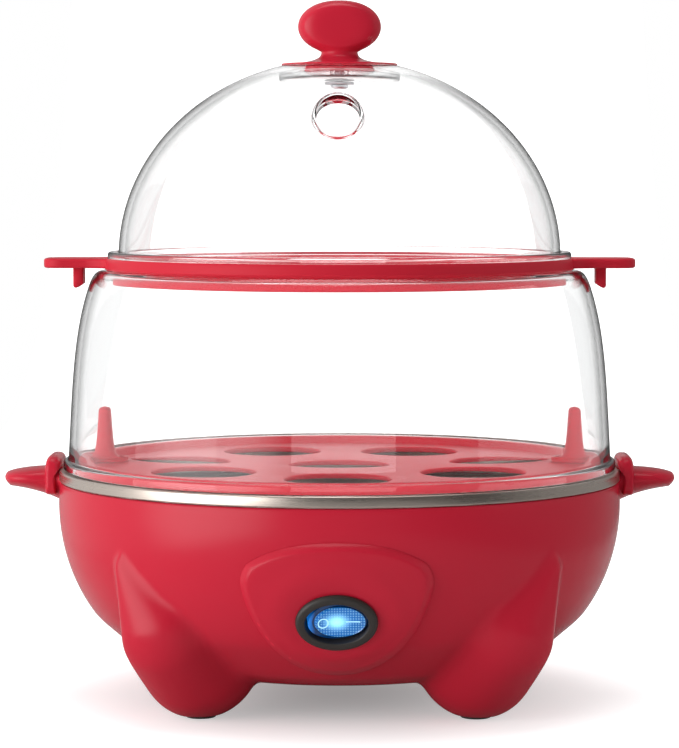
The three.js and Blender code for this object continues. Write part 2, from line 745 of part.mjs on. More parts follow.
function switchPanel() {
  const near = bowlFloorRadius;
  const depth = bowlRadius + panelProudBottom + shellWall - near;
  const slab = new THREE.ExtrudeGeometry(panelOutline(), { depth, bevelEnabled: false, curveSegments: 7 })
    .rotateX(Math.PI / 2)
    .translate(0, -near, 0);
  const proud = bowlArc(0, 9).map(([r, z]) => {
    const share = THREE.MathUtils.clamp((panelTop - z) / (panelTop - panelBottom), 0, 1);
    return [r + panelProudTop + (panelProudBottom - panelProudTop) * share, z];
  });
  const face = turned([[0, undersideHeight], ...proud, [0, widestHeight]]);
  const back = turned([[0, undersideHeight - 1], ...bowlArc(fitGap), [0, widestHeight + 1]]);
  const dish = oval(bezelHalfWidth + dishMargin, bezelHalfHeight + dishMargin, 0, housingDepth)
    .applyMatrix4(switchFrame);
  return cut(common(slab, face), back, dish, switchHole());
}

// ---------------------------------------------------------------- lower tray
function perforate(disc, holes, low, high) {
  return cut(disc, ...holes.map(([x, y]) => rod(eggHole, low, high, x, y, 18)));
}

// an oval post with a round head and a flared foot, standing in a shallow round dish
function lowerPost(x) {
  const sunk = trayFloorTop - trayFloor / 4;
  const half = postThickness / 2;
  const headHeight = trayRimTop + postTop - half;
  const dishTop = trayFloorTop + dishHeight;
  const footTop = trayFloorTop + postFootHeight;
  const dish = cut(
    rod(dishRadius, sunk, dishTop, 0, 0, trimSides),
    rod(dishRadius - dishWall, trayFloorTop + 0.6, dishTop + 1, 0, 0, trimSides),
  );
  const stem = oval(half, postWidth / 2, sunk, headHeight, smallSides);
  const head = new THREE.SphereGeometry(1, smallSides, 6)
    .rotateX(Math.PI / 2)
    .scale(half, postWidth / 2, half)
    .translate(0, 0, headHeight);
  const foot = turned([
    [0, sunk],
    [postFoot, sunk],
    [half + 1, trayFloorTop + postFootHeight * 0.45],
    [half, footTop],
    [0, footTop],
  ], smallSides);
  return [dish, stem, head, foot].map((piece) => piece.translate(x, 0, 0));
}

function lowerTray() {
  const floorFoot = trayFloorTop - trayFloor;
  const inner = panRadius - trayPanGap;
  const innerTop = inner - trayBevel / 2;
  const disc = turned([
    [0, floorFoot],
    [inner - trayBevel, floorFoot],
    [inner, trayRimFoot],
    [trayRimRadius, trayRimFoot],
    [trayRimRadius, trayRimTop],
    [innerTop, trayRimTop],
    [innerTop - trayFloor, trayFloorTop],
    [0, trayFloorTop],
  ]);
  const ring = evenly(lowerRingCount, frontAngle).map((a) => ringPlace(lowerRingRadius, a));
  const pierced = perforate(disc, [[0, 0], ...ring], floorFoot - 1, trayRimTop + 1);
  return join(pierced, ...[-1, 1].flatMap((side) => lowerPost(side * postOffset)));
}

// ---------------------------------------------------------------- clear tier
function shoulder(fromRadius, toRadius, low, high, steps = 4) {
  return Array.from({ length: steps + 1 }, (_, i) => {
    const angle = (Math.PI / 2) * (i / steps);
    return [toRadius + (fromRadius - toRadius) * Math.cos(angle), low + (high - low) * Math.sin(angle)];
  });
}

function steamTier() {
  const foot = tierFootHeight;
  const flangeTop = foot + tierFlangeHeight;
  const bend = tierTop - shoulderHeight;
  const middle = (tierFoot + tierWaist) / 2 + tierBulge;
  const outer = shoulder(tierWaist, tierTopRadius, bend, tierTop);
  const inner = shoulder(tierWaist - tierWall, tierTopOpening, bend - fitGap, tierTop - tierWall).reverse();
  return turned([
    [trayRimRadius + fitGap, foot],
    [tierFlange, foot],
    [tierFlange, flangeTop],
    [tierFoot, flangeTop + 1.5],
    [middle, (flangeTop + bend) / 2],
    ...outer,
    [tierTopOpening, tierTop],
    ...inner,
    [middle - tierWall, (flangeTop + bend) / 2],
    [trayRimRadius + fitGap, flangeTop + tierFlangeHeight],
  ]);
}

// ---------------------------------------------------------------- upper tray
// a grab tab seen from above: it flares into the ring and has round outer corners
function grabOutline() {
  const half = grabWidth / 2;
  const root = ringRadius + grabFlare * 2;
  const shape = new THREE.Shape();
  shape.moveTo(ringRadius - grabFlare, -half - grabFlare);
  shape.quadraticCurveTo(ringRadius + grabFlare, -half - 0.5, root, -half);
  shape.lineTo(grabReach - grabCorner, -half);
  shape.quadraticCurveTo(grabReach, -half, grabReach, -half + grabCorner);
  shape.lineTo(grabReach, half - grabCorner);
  shape.quadraticCurveTo(grabReach, half, grabReach - grabCorner, half);
  shape.lineTo(root, half);
  shape.quadraticCurveTo(ringRadius + grabFlare, half + 0.5, ringRadius - grabFlare, half + grabFlare);
  shape.closePath();
  return shape;
}

// the hook under a grab tab, which keeps the tray centred over the tier's shoulder
function grabHook(grabFoot) {
  const near = hookOffset - hookThickness / 2;
  const far = hookOffset + hookThickness / 2;
  const root = grabFoot + fitGap;
  const shape = new THREE.Shape();
  shape.moveTo(near, root);
  shape.lineTo(near, grabFoot - hookLength + hookSlant);
  shape.lineTo(far, grabFoot - hookLength);
  shape.lineTo(far, root);
  return new THREE.ExtrudeGeometry(shape, { depth: hookWidth, bevelEnabled: false })
    .rotateX(Math.PI / 2)
    .translate(0, hookWidth / 2, 0);
}

function upperTray() {
  const skirtOuter = tierTopOpening - skirtGap;
  const skirtInner = skirtOuter - skirtWall;
  const skirtFoot = ringFoot - skirtDepth;
  const disc = turned([
    [0, skirtFoot],
    [skirtOuter, skirtFoot],
    [skirtOuter, ringFoot],
    [ringRadius, ringFoot],
    [ringRadius, ringTop],
    [skirtInner, ringTop],
    [skirtInner, skirtFoot + upperFloor],
    [0, skirtFoot + upperFloor],
  ]);
  const ring = evenly(upperRingCount, frontAngle).map((a) => ringPlace(upperRingRadius, a));
  const pierced = perforate(disc, ring, skirtFoot - 1, ringTop + 1);
  const grabFoot = ringTop - grabThickness;
  const clearTier = rod(tierTopRadius + grabClearance, grabFoot - 1, ringFoot, 0, 0, turnSides);
  const clearInner = rod(skirtOuter, grabFoot - 1, ringTop + 1, 0, 0, turnSides);
  const tabs = [0, Math.PI].map((side) => {
    const plate = cut(prism(grabOutline(), grabFoot, ringTop, 5), clearTier, clearInner);
    return join(plate, grabHook(grabFoot)).rotateZ(side);
  });
  return join(pierced, ...tabs);
}

// ---------------------------------------------------------------- lid and knob
function domeArc(shrink, fromRadius, steps = 7) {
  const wide = lidRadius - shrink;
  const high = domeRise - shrink;
  const centre = lidFoot + domeSpring;
  const start = Math.acos(fromRadius / wide);
  return Array.from({ length: steps + 1 }, (_, i) => {
    const angle = start * (1 - i / steps);
    return [wide * Math.cos(angle), centre + high * Math.sin(angle)];
  });
}

const crownRadius = lidRadius * Math.sqrt(1 - ((crownHeight - domeSpring) / domeRise) ** 2);
const ventSides = 24;
const ventReach = lidRadius * Math.sqrt(1 - ((ventRise - domeSpring) / domeRise) ** 2);
const ventFrame = new THREE.Matrix4()
  .makeRotationX(turn(90 - ventTilt))
  .setPosition(0, -ventReach, lidFoot + ventRise);

function lidDome() {
  const recessFloor = crownTop - crownRecessDepth;
  const innerRecess = crownRecess + lidWall;
  const dome = turned([
    [0, recessFloor - lidWall],
    [innerRecess, recessFloor - lidWall],
    ...domeArc(lidWall, innerRecess),
    [lidRadius - lidWall, lidFoot],
    [lidFlange, lidFoot],
    [lidFlange, lidFoot + lidFlangeHeight],
    [lidRadius, lidFoot + lidFlangeHeight],
    ...domeArc(0, crownRadius).reverse().slice(1),
    [crownRecess, crownTop],
    [crownRecess, recessFloor],
    [0, recessFloor],
  ]);
  const inside = turned([
    [0, lidFoot - 1],
    [lidRadius - lidWall, lidFoot - 1],
    ...domeArc(lidWall, innerRecess).reverse(),
    [0, recessFloor - lidWall],
  ]);
  const collar = rod(ventBore + ventWall, -ventBore - 2, ventProud, 0, 0, ventSides).applyMatrix4(ventFrame);
  const bore = rod(ventBore, -ventBore * 2, ventProud + ventBore, 0, 0, ventSides).applyMatrix4(ventFrame);
  const screwHole = rod(screwShank + fitGap, recessFloor - lidWall - 1, recessFloor + 1);
  return cut(join(dome, cut(collar, inside)), bore, screwHole);
}

function lidKnob() {
  const neckFoot = knobFoot + knobNeckHeight;
  const neckTop = neckFoot + knobNeckLength;
  const flare = knobNeck + knobFlare;
  const grip = knobFoot + knobCentreHeight;
  const spigotFoot = crownTop - crownRecessDepth + fitGap;
  const stem = turned([
    [0, spigotFoot],
    [knobSpigot, spigotFoot],
    [knobSpigot, knobFoot],
    [knobBase, knobFoot],
    [knobBase, knobFoot + knobEdge],
    [(knobBase + knobNeck) / 2 - 0.8, knobFoot + knobNeckHeight / 3],
    [flare, knobFoot + knobNeckHeight * 0.62],
    [knobNeck, neckFoot],
    [knobNeck, neckTop],
    [flare, neckTop + knobFlare],
    [flare, grip],
    [0, grip],
  ], 18);
  const ball = new THREE.SphereGeometry(1, 18, 10)
    .rotateX(Math.PI / 2)
    .scale(knobHalfWidth, knobHalfDepth, knobHalfHeight)
    .translate(0, 0, grip);
  const scoops = [-1, 1].map((side) => new THREE.SphereGeometry(1, 14, 8)
    .rotateX(Math.PI / 2)
    .scale(knobHalfWidth * 0.86, knobDishDepth, knobHalfHeight * 0.78)
    .translate(0, side * (knobHalfDepth + knobDishDepth - knobDish), grip));
  const bore = rod(screwShank + fitGap, spigotFoot - 1, knobFoot + knobScrewLength - 2);
  return cut(join(stem, ball), ...scoops, bore);
}

// ---------------------------------------------------------------- put together
const base = assembly();
add('base_shell', baseShell(), 'redPlastic', base);
add('bottom_cover', bottomCover(), 'redPlastic', base);
coverScrewAngles.forEach((a, i) => add(`cover_screw_${i + 1}`,
  screw(undersideHeight - fitGap, 1, coverBossHeight, ...ringPlace(coverScrewRing, a)), 'zinc', base));
Object.entries(footAngles).forEach(([place, a]) => add(`foot_pad_${place}`,
  rod(padRadius, 0, padThickness, ...ringPlace(footSpread, a)), 'rubber', base));
add('handle_left', handle(-1), 'redPlastic', base);
add('handle_right', handle(1), 'redPlastic', base);
add('heating_plate', heatingPlate(), 'steel', base);
add('plate_seal', plateSeal(), 'silicone', base);
add('plate_carrier', plateCarrier(), 'zinc', base);
studAngles.forEach((a, i) => add(`plate_nut_${i + 1}`, plateNut(a), 'zinc', base));
pillarAngles.forEach((a, i) => add(`carrier_screw_${i + 1}`,
  screw(carrierTop + fitGap, -1, screwBite, ...ringPlace(pillarRing, a)), 'zinc', base));
add('heating_element', heatingElement(), 'zinc', base);
const thermostatTop = panUnder - fitGap;
const strapTop = thermostatTop - thermostatHeight - fitGap;
const strapReach = studRing - 1;
add('thermostat', rod(thermostatRadius, thermostatTop - thermostatHeight, thermostatTop, 0, 0, trimSides),
  'ceramicWhite', base);
add('thermostat_strap', block(-strapReach, strapReach, -strapWidth / 2, strapWidth / 2,
  strapTop - strapThickness, strapTop), 'zinc', base);
add('thermal_fuse', rod(fuseRadius, -fuseLength / 2, fuseLength / 2)
  .rotateY(Math.PI / 2)
  .translate(0, fuseOffset, panUnder - fitGap - fuseRadius), 'ceramicWhite', base);
const floorTop = coverTop + fitGap;
add('buzzer', rod(buzzerRadius, floorTop, floorTop + buzzerHeight, ...buzzerPlace, trimSides),
  'blackPlastic', base);
add('terminal_block', block(-blockWidth / 2, blockWidth / 2, blockBack, blockBack + blockDepth,
  floorTop, floorTop + blockHeight), 'ceramicWhite', base);

const bushTail = -inletBossLength - inletTail;
const bush = turned([
  [inletBore, bushTail],
  [inletTube, bushTail],
  [inletTube, fitGap],
  [inletFlange, fitGap],
  [inletFlange - 0.8, fitGap + inletFlangeThickness],
  [inletBore, fitGap + inletFlangeThickness],
], trimSides).applyMatrix4(inletFrame);
add('cord_inlet', bush, 'blackPlastic', base);
add('switch_panel', switchPanel(), 'redPlastic', base);
buildSwitch(base);

// leads inside the base, by hand-picked routes between the faces that they join
const backOfSwitch = new THREE.Vector3(0, 0, -housingDepth - terminalLength - 2 * fitGap - leadRadius / 2)
  .applyMatrix4(switchFrame);
const backOfInlet = new THREE.Vector3(0, 0, bushTail - fitGap - leadRadius / 2)
  .applyMatrix4(inletFrame);
const coldEnd = elementRing * Math.sin(coldEndTurn);
const coldEndBack = -elementRing * Math.cos(coldEndTurn);
const coldEndFoot = elementLevel - elementDrop - leadEnd;
const blockLevel = coverTop + blockHeight / 2;
const blockRear = blockBack + blockDepth + leadEnd;
const blockFront = blockBack - leadEnd;
const leadStub = 5;
const besidePillar = pillarRadius + leadRadius + 1;
const supplyAt = (share) => THREE.MathUtils.lerp(blockRear + leadStub, backOfInlet.y, share);
const blockMiddle = blockBack + blockDepth / 2;
const blockSide = -blockWidth / 2 - leadEnd;
const leads = {
  lead_supply: ['leadWhite', [
    [0, backOfInlet.y, backOfInlet.z],
    [0, backOfInlet.y - leadRadius, backOfInlet.z],
    [besidePillar, backOfInlet.y - leadStub - leadRadius, backOfInlet.z],
    [8, supplyAt(0.58), backOfInlet.z - 3],
    [10, supplyAt(0.31), backOfInlet.z - 10],
    [7, blockRear + leadStub, blockLevel],
    [7, blockRear, blockLevel],
  ]],
  lead_to_switch: ['leadBrown', [
    [-6, blockFront, blockLevel],
    [-6, blockFront - leadStub, blockLevel],
    [-10, blockFront - 29.5, 26],
    [-10, backOfSwitch.y + 29, backOfSwitch.z - 8.5],
    [-terminalPitch - 1, backOfSwitch.y + 9, backOfSwitch.z - 1.5],
    [-terminalPitch, backOfSwitch.y, backOfSwitch.z],
  ]],
  lead_to_element: ['leadBrown', [
    [terminalPitch, backOfSwitch.y, backOfSwitch.z],
    [terminalPitch + 2, backOfSwitch.y + 7, backOfSwitch.z - 1],
    [terminalPitch + 7, backOfSwitch.y + 19, backOfSwitch.z - 4.5],
    [coldEnd, coldEndBack, coldEndFoot - leadStub],
    [coldEnd, coldEndBack, coldEndFoot],
  ]],
  lead_return: ['leadBlue', [
    [-coldEnd, coldEndBack, coldEndFoot],
    [-coldEnd, coldEndBack, coldEndFoot - leadStub],
    [-26, -20, 36],
    [-28, 2, 28],
    [blockSide - 6, blockMiddle, blockLevel],
    [blockSide, blockMiddle, blockLevel],
  ]],
};
Object.entries(leads).forEach(([name, [finish, points]]) => {
  add(name, wire(points, leadRadius), finish, base);
});

const lower = assembly();
add('lower_egg_tray', lowerTray(), 'redTray', lower);
const tier = assembly();
add('steam_tier', steamTier(), 'clear', tier);
const upper = assembly();
add('upper_egg_tray', upperTray(), 'redTray', upper);
const lid = assembly();
add('lid_dome', lidDome(), 'clear', lid);
add('lid_knob', lidKnob(), 'redPlastic', lid);
const seatHeight = crownTop - crownRecessDepth - lidWall;
const washerFoot = seatHeight - fitGap - washerThickness;
add('knob_washer', cut(rod(washerRadius, washerFoot, washerFoot + washerThickness),
  rod(screwShank + fitGap, washerFoot - 1, seatHeight)), 'zinc', lid);
add('knob_screw', screw(washerFoot - fitGap, 1, knobScrewLength, 0, 0), 'zinc', lid);

export default model;
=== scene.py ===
"""Egg cooker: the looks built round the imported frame.

Every surface is worked out in millimetres and put into its mesh in metres.
"""

import json
import math
from types import SimpleNamespace

import bmesh
import bpy
import numpy as np
from bpy.props import FloatProperty, FloatVectorProperty, PointerProperty
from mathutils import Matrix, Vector


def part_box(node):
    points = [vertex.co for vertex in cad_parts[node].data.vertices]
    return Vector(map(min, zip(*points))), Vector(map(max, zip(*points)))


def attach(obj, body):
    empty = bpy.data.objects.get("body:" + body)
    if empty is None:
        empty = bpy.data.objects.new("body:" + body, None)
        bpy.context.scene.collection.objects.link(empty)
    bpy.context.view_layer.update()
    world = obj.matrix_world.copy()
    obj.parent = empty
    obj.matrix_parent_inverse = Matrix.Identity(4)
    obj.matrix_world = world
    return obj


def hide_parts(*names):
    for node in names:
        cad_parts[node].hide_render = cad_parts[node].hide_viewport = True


bl_info = {
    "name": "Egg Cooker",
    "version": (1, 0, 0),
    "blender": (4, 5, 0),
    "location": "View3D > Sidebar > Egg Cooker",
    "description": "Builds the visible pieces of a two-tier egg cooker round its frame",
    "category": "Object",
}

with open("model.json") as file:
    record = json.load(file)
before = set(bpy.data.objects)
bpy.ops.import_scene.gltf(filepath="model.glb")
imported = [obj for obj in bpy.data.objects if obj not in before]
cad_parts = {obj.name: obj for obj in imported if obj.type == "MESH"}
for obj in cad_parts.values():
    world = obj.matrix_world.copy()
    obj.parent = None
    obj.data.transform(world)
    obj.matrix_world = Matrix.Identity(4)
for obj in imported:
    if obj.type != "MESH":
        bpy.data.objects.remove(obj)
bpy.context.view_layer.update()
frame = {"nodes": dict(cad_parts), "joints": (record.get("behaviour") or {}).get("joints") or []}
MM = 0.001
NEAR = 0.3                       # clearance between neighbouring pieces
WELD = 3e-6                      # points closer than this, in metres, are one
RIGHT = np.array([1.0, 0.0, 0.0])


def heights(node):
    """Lowest and highest height of a CAD node, in millimetres."""
    low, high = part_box(node)
    return low.z / MM, high.z / MM


def plan_middle(node):
    """Middle of a CAD node seen from above, in millimetres."""
    low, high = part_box(node)
    return (low.x + high.x) / 2 / MM, (low.y + high.y) / 2 / MM


def cord_place():
    """Height of the cord's hole, and the rear and front faces of its bush, in millimetres."""
    low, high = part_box("cord_inlet")
    return (low.z + high.z) / 2 / MM, high.y / MM, low.y / MM


# ---------------------------------------------------------------- sizes that a user would change
def length(name, millimetres, description):
    """A length property whose default is given in millimetres."""
    return FloatProperty(name=name, description=description, default=millimetres * MM,
                         unit="LENGTH", subtype="DISTANCE", precision=5)


def colour(name, red, green, blue, description):
    """A colour property, its default given as 8-bit screen values."""
    screen = np.array([red, green, blue]) / 255
    linear = np.where(screen <= 0.04045, screen / 12.92, ((screen + 0.055) / 1.055) ** 2.4)
    return FloatVectorProperty(name=name, description=description, default=tuple(linear),
                               subtype="COLOR", size=3, min=0, max=1)


def in_mm(group):
    """The lengths of a property group as plain numbers in millimetres."""
    return SimpleNamespace(**{key: getattr(group, key) / MM for key in type(group).__annotations__})


class EggShellSizes(bpy.types.PropertyGroup):
    """Base shell: a bowl on four round legs."""
    underside: length("Underside", heights("bottom_cover")[0], "Table to the flat underside")
    widest: length("Widest line", heights("base_shell")[1] - 7.2,
                   "Table to the widest line of the bowl")
    top: length("Top", heights("base_shell")[1], "Table to the top of the shell")
    bowl_radius: length("Bowl radius", 94.3, "Radius at the widest line")
    taper: length("Collar taper", 0.2, "How much the collar draws in towards its top")
    floor_radius: length("Floor radius", 49.3, "Radius of the flat underside")
    opening: length("Opening", 44.0, "Radius of the opening in the underside")
    wall: length("Wall", 2.5, "Wall thickness")
    crease_height: length("Crease height", 28.0, "Height at which the bowl tucks in")
    foot_spread: length("Foot spread", 62.4, "Axis to the middle of a foot")
    foot_height: length("Foot height", 18.7, "Height of the foot ball's centre")
    foot_ball: length("Foot ball", 19.2, "Radius of the foot ball")
    knee_spread: length("Knee spread", 72.6, "Axis to the knee ball")
    knee_height: length("Knee height", 29.5, "Height of the knee ball's centre")
    knee_ball: length("Knee ball", 17.2, "Radius of the knee ball")
    hip_spread: length("Hip spread", 92.4, "Axis to the hip ball")
    hip_height: length("Hip height", 51.0, "Height of the hip ball's centre")
    hip_ball: length("Hip ball", 5.4, "Radius of the hip ball")
    knee_back: length("Knee back", 56.0, "Middle plane to the knee ball's centre, front to back")
    hip_back: length("Hip back", 58.2, "Middle plane to the hip ball's centre, front to back")
    leg_push: length("Leg push", 1.3, "How far the round leg stands past its trimmed side")
    pad_proud: length("Pad proud", 0.6, "How far a foot pad stands out of its foot")
    pad_radius: length("Pad radius", 5.0, "Radius of a foot pad")
    pad_height: length("Pad height", 2.0, "Height of a foot pad")


class EggPlateSizes(bpy.types.PropertyGroup):
    """Heating plate: a steel pan with an upright band."""
    top: length("Top", heights("heating_plate")[1], "Table to the top of the band")
    band_height: length("Band height", 3.5, "Height of the band")
    band_radius: length("Band radius", 94.2, "Outer radius of the band")
    sheet: length("Sheet", 0.8, "Thickness of the steel")
    pan_radius: length("Pan radius", 86.0, "Inner radius of the pan")
    pan_depth: length("Pan depth", 15.0, "Depth of the pan")
    pan_corner: length("Pan corner", 5.0, "Round between the pan's wall and floor")


class EggPanelSizes(bpy.types.PropertyGroup):
    """Switch panel and rocker switch."""
    top: length("Top", 63.0, "Height of the panel's top edge")
    shoulder: length("Shoulder", 52.5, "Height of its shoulders")
    bottom: length("Bottom", 18.5, "Height of its foot")
    half_width: length("Half width", 29.9, "Half of the panel's width")
    proud_top: length("Proud at top", 2.0, "Stands out of the bowl by this much at the top")
    proud_bottom: length("Proud at foot", 4.2, "Stands out of the bowl by this much at the foot")
    rim: length("Rim", 2.7, "Width of the rounded rim")
    rim_drop: length("Rim drop", 2.0, "How far the rim falls")
    bezel_width: length("Bezel half width", 12.8, "Half width of the switch's bezel")
    bezel_height: length("Bezel half height", 9.8, "Half height of the bezel")
    bezel_thickness: length("Bezel thickness", 2.2, "Height of the bezel above its seat")
    well_width: length("Well half width", 9.85, "Half width of the rocker's well")
    well_height: length("Well half height", 6.9, "Half height of the rocker's well")
    rocker_width: length("Rocker half width", 9.35, "Half width of the rocker")
    rocker_height: length("Rocker half height", 6.4, "Half height of the rocker")
    face_width: length("Face half width", 7.85, "Half width of the rocker's hollow face")
    face_height: length("Face half height", 5.2, "Half height of that face")
    face_shift: length("Face shift", 0.95, "How far that face lies towards the bar mark")
    pivot_depth: length("Pivot depth", 2.6, "Pivot below the bezel's seat")


class EggHandleSizes(bpy.types.PropertyGroup):
    """Side handles with locating ears."""
    root: length("Root", 94.6, "Axis to the handle's root")
    reach: length("Reach", 112.9, "Axis to the tip")
    width: length("Width", 21.0, "Width of the horn")
    top: length("Top", heights("base_shell")[1] + 4.3, "Height of the horn at its root")
    ridge: length("Ridge", heights("base_shell")[1], "Height of the ridge along its side")
    ear_width: length("Ear width", 25.0, "Width of the ear")
    ear_top: length("Ear top", 81.5, "Height of the ear")


class EggTraySizes(bpy.types.PropertyGroup):
    """Lower and upper egg trays."""
    hole: length("Egg hole", 17.0, "Radius of an egg opening")
    lower_ring: length("Lower ring", 56.0, "Ring radius of the lower openings")
    upper_ring: length("Upper ring", 42.0, "Ring radius of the upper openings")
    lower_rim: length("Lower rim", 88.5, "Outer radius of the lower tray")
    lower_rim_foot: length("Lower rim foot", heights("heating_plate")[1] + NEAR,
                           "Underside of its rim")
    lower_rim_height: length("Lower rim height", 2.7, "Height of its rim")
    floor: length("Floor", 2.0, "Thickness of both floors")
    lower_foot: length("Lower foot", heights("lower_egg_tray")[0],
                       "Underside of the lower tray's floor")
    lower_inner: length("Lower step", 85.3, "Radius of the step that drops into the pan")
    post_offset: length("Post offset", 79.3, "Axis to a post")
    post_top: length("Post top", heights("lower_egg_tray")[1], "Height of a post")
    upper_top: length("Ring top", heights("upper_egg_tray")[1], "Top of the upper tray's ring")
    upper_ring_height: length("Ring height", 2.5, "Thickness of its ring")
    upper_rim: length("Ring radius", 78.7, "Outer radius of its ring")
    lip: length("Lip", 1.4, "Height of the lip round the lid's seat")
    lip_seat: length("Lip seat", 77.9, "Inner radius of that lip")
    skirt: length("Skirt radius", 75.9, "Outer radius of its skirt")
    skirt_depth: length("Skirt depth", 5.0, "Skirt below the ring")
    skirt_wall: length("Skirt wall", 2.2, "Thickness of the skirt")
    grab_reach: length("Grab reach", 98.9, "Axis to the end of a grab tab")
    grab_width: length("Grab width", 22.0, "Width of a grab tab")
    grab_height: length("Grab height", 3.2, "Thickness of a grab tab")
    hook_offset: length("Hook offset", 87.5, "Axis to the hook under a grab tab")
    hook_length: length("Hook length", 6.3, "Length of the hook")


class EggTierSizes(bpy.types.PropertyGroup):
    """Clear steam tier."""
    foot: length("Foot", heights("steam_tier")[0], "Underside of the tier")
    top: length("Top", heights("steam_tier")[1], "Top of the tier")
    flange: length("Flange radius", 92.6, "Outer radius of the foot flange")
    flange_height: length("Flange height", 2.9, "Height of the foot flange")
    inner: length("Inner foot", 88.8, "Inner radius at the foot")
    foot_radius: length("Foot radius", 90.9, "Outer radius above the flange")
    top_radius: length("Top radius", 79.4, "Radius where the shoulder meets the flat top")
    opening: length("Opening", 76.4, "Radius of the top opening")
    wall: length("Wall", 1.9, "Wall thickness")


class EggLidSizes(bpy.types.PropertyGroup):
    """Clear lid with a steam vent."""
    foot: length("Foot", heights("lid_dome")[0], "Underside of the lid")
    flange: length("Flange radius", 77.6, "Outer radius of the foot flange")
    flange_height: length("Flange height", 3.2, "Height of the foot flange")
    radius: length("Radius", 74.0, "Radius of the dome")
    rise: length("Rise", 66.0, "Half height of the dome's ellipse")
    spring: length("Spring", 1.5, "Centre of the ellipse above the underside")
    wall: length("Wall", 2.0, "Wall thickness")
    crown: length("Crown", 65.0, "Underside to the flat crown")
    recess: length("Recess", 18.3, "Radius of the recess under the knob")
    recess_depth: length("Recess depth", 2.9, "Depth of that recess")
    vent_rise: length("Vent rise", 47.1, "Underside to the middle of the vent")
    vent_bore: length("Vent bore", 6.9, "Radius of the vent")
    vent_collar: length("Vent collar", 8.1, "Outer radius of its collar")
    vent_proud: length("Vent proud", 1.5, "How far the collar stands out")


class EggKnobSizes(bpy.types.PropertyGroup):
    """Lid knob."""
    foot: length("Foot", heights("lid_knob")[0], "Underside of the knob's spigot")
    seat: length("Seat", heights("lid_dome")[0] + 65.3, "Underside of the knob's base")
    spigot: length("Spigot", 11.5, "Radius of the spigot")
    base: length("Base", 19.4, "Radius of the base")
    neck: length("Neck", 6.1, "Radius of the neck")
    grip_rise: length("Grip rise", 12.8, "Base to the middle of the grip")
    half_width: length("Half width", 13.9, "Half width of the grip")
    half_depth: length("Half depth", 9.0, "Half depth of the grip")
    half_height: length("Half height", 8.8, "Half height of the grip")
    dish: length("Dish", 2.4, "Depth of the hollow in each face")


class EggFinishes(bpy.types.PropertyGroup):
    """Colours of the finishes, given as they show on a screen."""
    red: colour("Red", 190, 34, 54, "Gloss red plastic of the base and knob")
    tray: colour("Tray red", 190, 36, 52, "Red plastic of the trays")
    steel: colour("Steel", 203, 191, 181, "Brushed steel")
    zinc: colour("Zinc", 168, 170, 174, "Zinc-plated steel")
    black: colour("Black", 44, 40, 37, "Matt black plastic")
    lens: colour("Lens", 16, 108, 196, "Blue lens of the rocker")
    glow: colour("Glow", 150, 225, 255, "Light behind the lens")
    floor: colour("Floor", 208, 208, 208, "Floor and backdrop, lit part of their white")


# ---------------------------------------------------------------- curves and surfaces
def unit(vector):
    """Vectors scaled to length one, along the last axis."""
    return vector / np.maximum(np.linalg.norm(vector, axis=-1, keepdims=True), 1e-12)


def smoothstep(value):
    """3 v^2 - 2 v^3 with v held between 0 and 1."""
    v = np.clip(value, 0, 1)
    return v * v * (3 - 2 * v)


def smooth_min(first, second, width):
    """The lower of two fields, rounded over the given width where they meet."""
    share = np.clip(0.5 + 0.5 * (second - first) / width, 0, 1)
    return second + (first - second) * share - width * share * (1 - share)


def smooth_max(first, second, width):
    """The higher of two fields, rounded where they meet."""
    return -smooth_min(-first, -second, width)


def bezier(*points, steps=24):
    """Bezier curve through the first and last of three or four points."""
    p = [np.array(point, float) for point in points]
    t = np.linspace(0, 1, steps)[:, None]
    if len(p) == 3:
        return (1 - t) ** 2 * p[0] + 2 * t * (1 - t) * p[1] + t ** 2 * p[2]
    return ((1 - t) ** 3 * p[0] + 3 * t * (1 - t) ** 2 * p[1]
            + 3 * t ** 2 * (1 - t) * p[2] + t ** 3 * p[3])


def outline(*parts, steps=6):
    """Chains corners and curves into one outline.

    A part is a corner (u, v), a corner with a round (u, v, radius) or an array of points.
    A round replaces its corner by the arc tangent to both sides: centre on the bisector at
    radius / sin(half the corner's angle), swept through pi minus that angle.
    """
    rows = []
    for part in parts:
        part = np.atleast_2d(np.asarray(part, float))
        rows.append(part if part.shape[1] == 3 else np.column_stack([part, np.zeros(len(part))]))
    corners = np.vstack(rows)
    before, after = np.roll(corners, 1, 0), np.roll(corners, -1, 0)
    chain = []
    for here, previous, following in zip(corners, before, after):
        point, radius = here[:2], here[2]
        if radius == 0:
            chain.append(point[None])
            continue
        a, b = unit(previous[:2] - point), unit(following[:2] - point)
        half = math.acos(np.clip(a @ b, -1, 1)) / 2
        centre = point + unit(a + b) * radius / math.sin(half)
        first, last = (point + side * radius / math.tan(half) - centre for side in (a, b))
        sweep = math.pi - 2 * half
        t = np.linspace(0, 1, steps)[:, None] * sweep
        chain.append(centre + (np.sin(sweep - t) * first + np.sin(t) * last) / math.sin(sweep))
    return np.vstack(chain)


def offset(curve, distance):
    """A curve moved along its left-hand normal by a distance."""
    along = unit(np.gradient(curve, axis=0))
    return curve + distance * np.column_stack([-along[:, 1], along[:, 0]])


def quads(rows, columns, close_rows=False, close_columns=True):
    """Corner numbers of a grid's quads: row i, column j joins row i + 1, column j + 1."""
    index = np.arange(rows * columns).reshape(rows, columns)
    if close_rows:
        index = np.vstack([index, index[:1]])
    if close_columns:
        index = np.column_stack([index, index[:, :1]])
    corners = [index[:-1, :-1], index[:-1, 1:], index[1:, 1:], index[1:, :-1]]
    return np.stack(corners, -1).reshape(-1, 4)


def grid(points, close_rows=False, close_columns=True):
    """A surface as (points, quads) from an array of rows of points."""
    return points.reshape(-1, 3), quads(*points.shape[:2], close_rows, close_columns)


def azimuths(count, start=0.0):
    """Evenly spaced angles round the axis, in radians."""
    return start + np.arange(count) * 2 * np.pi / count


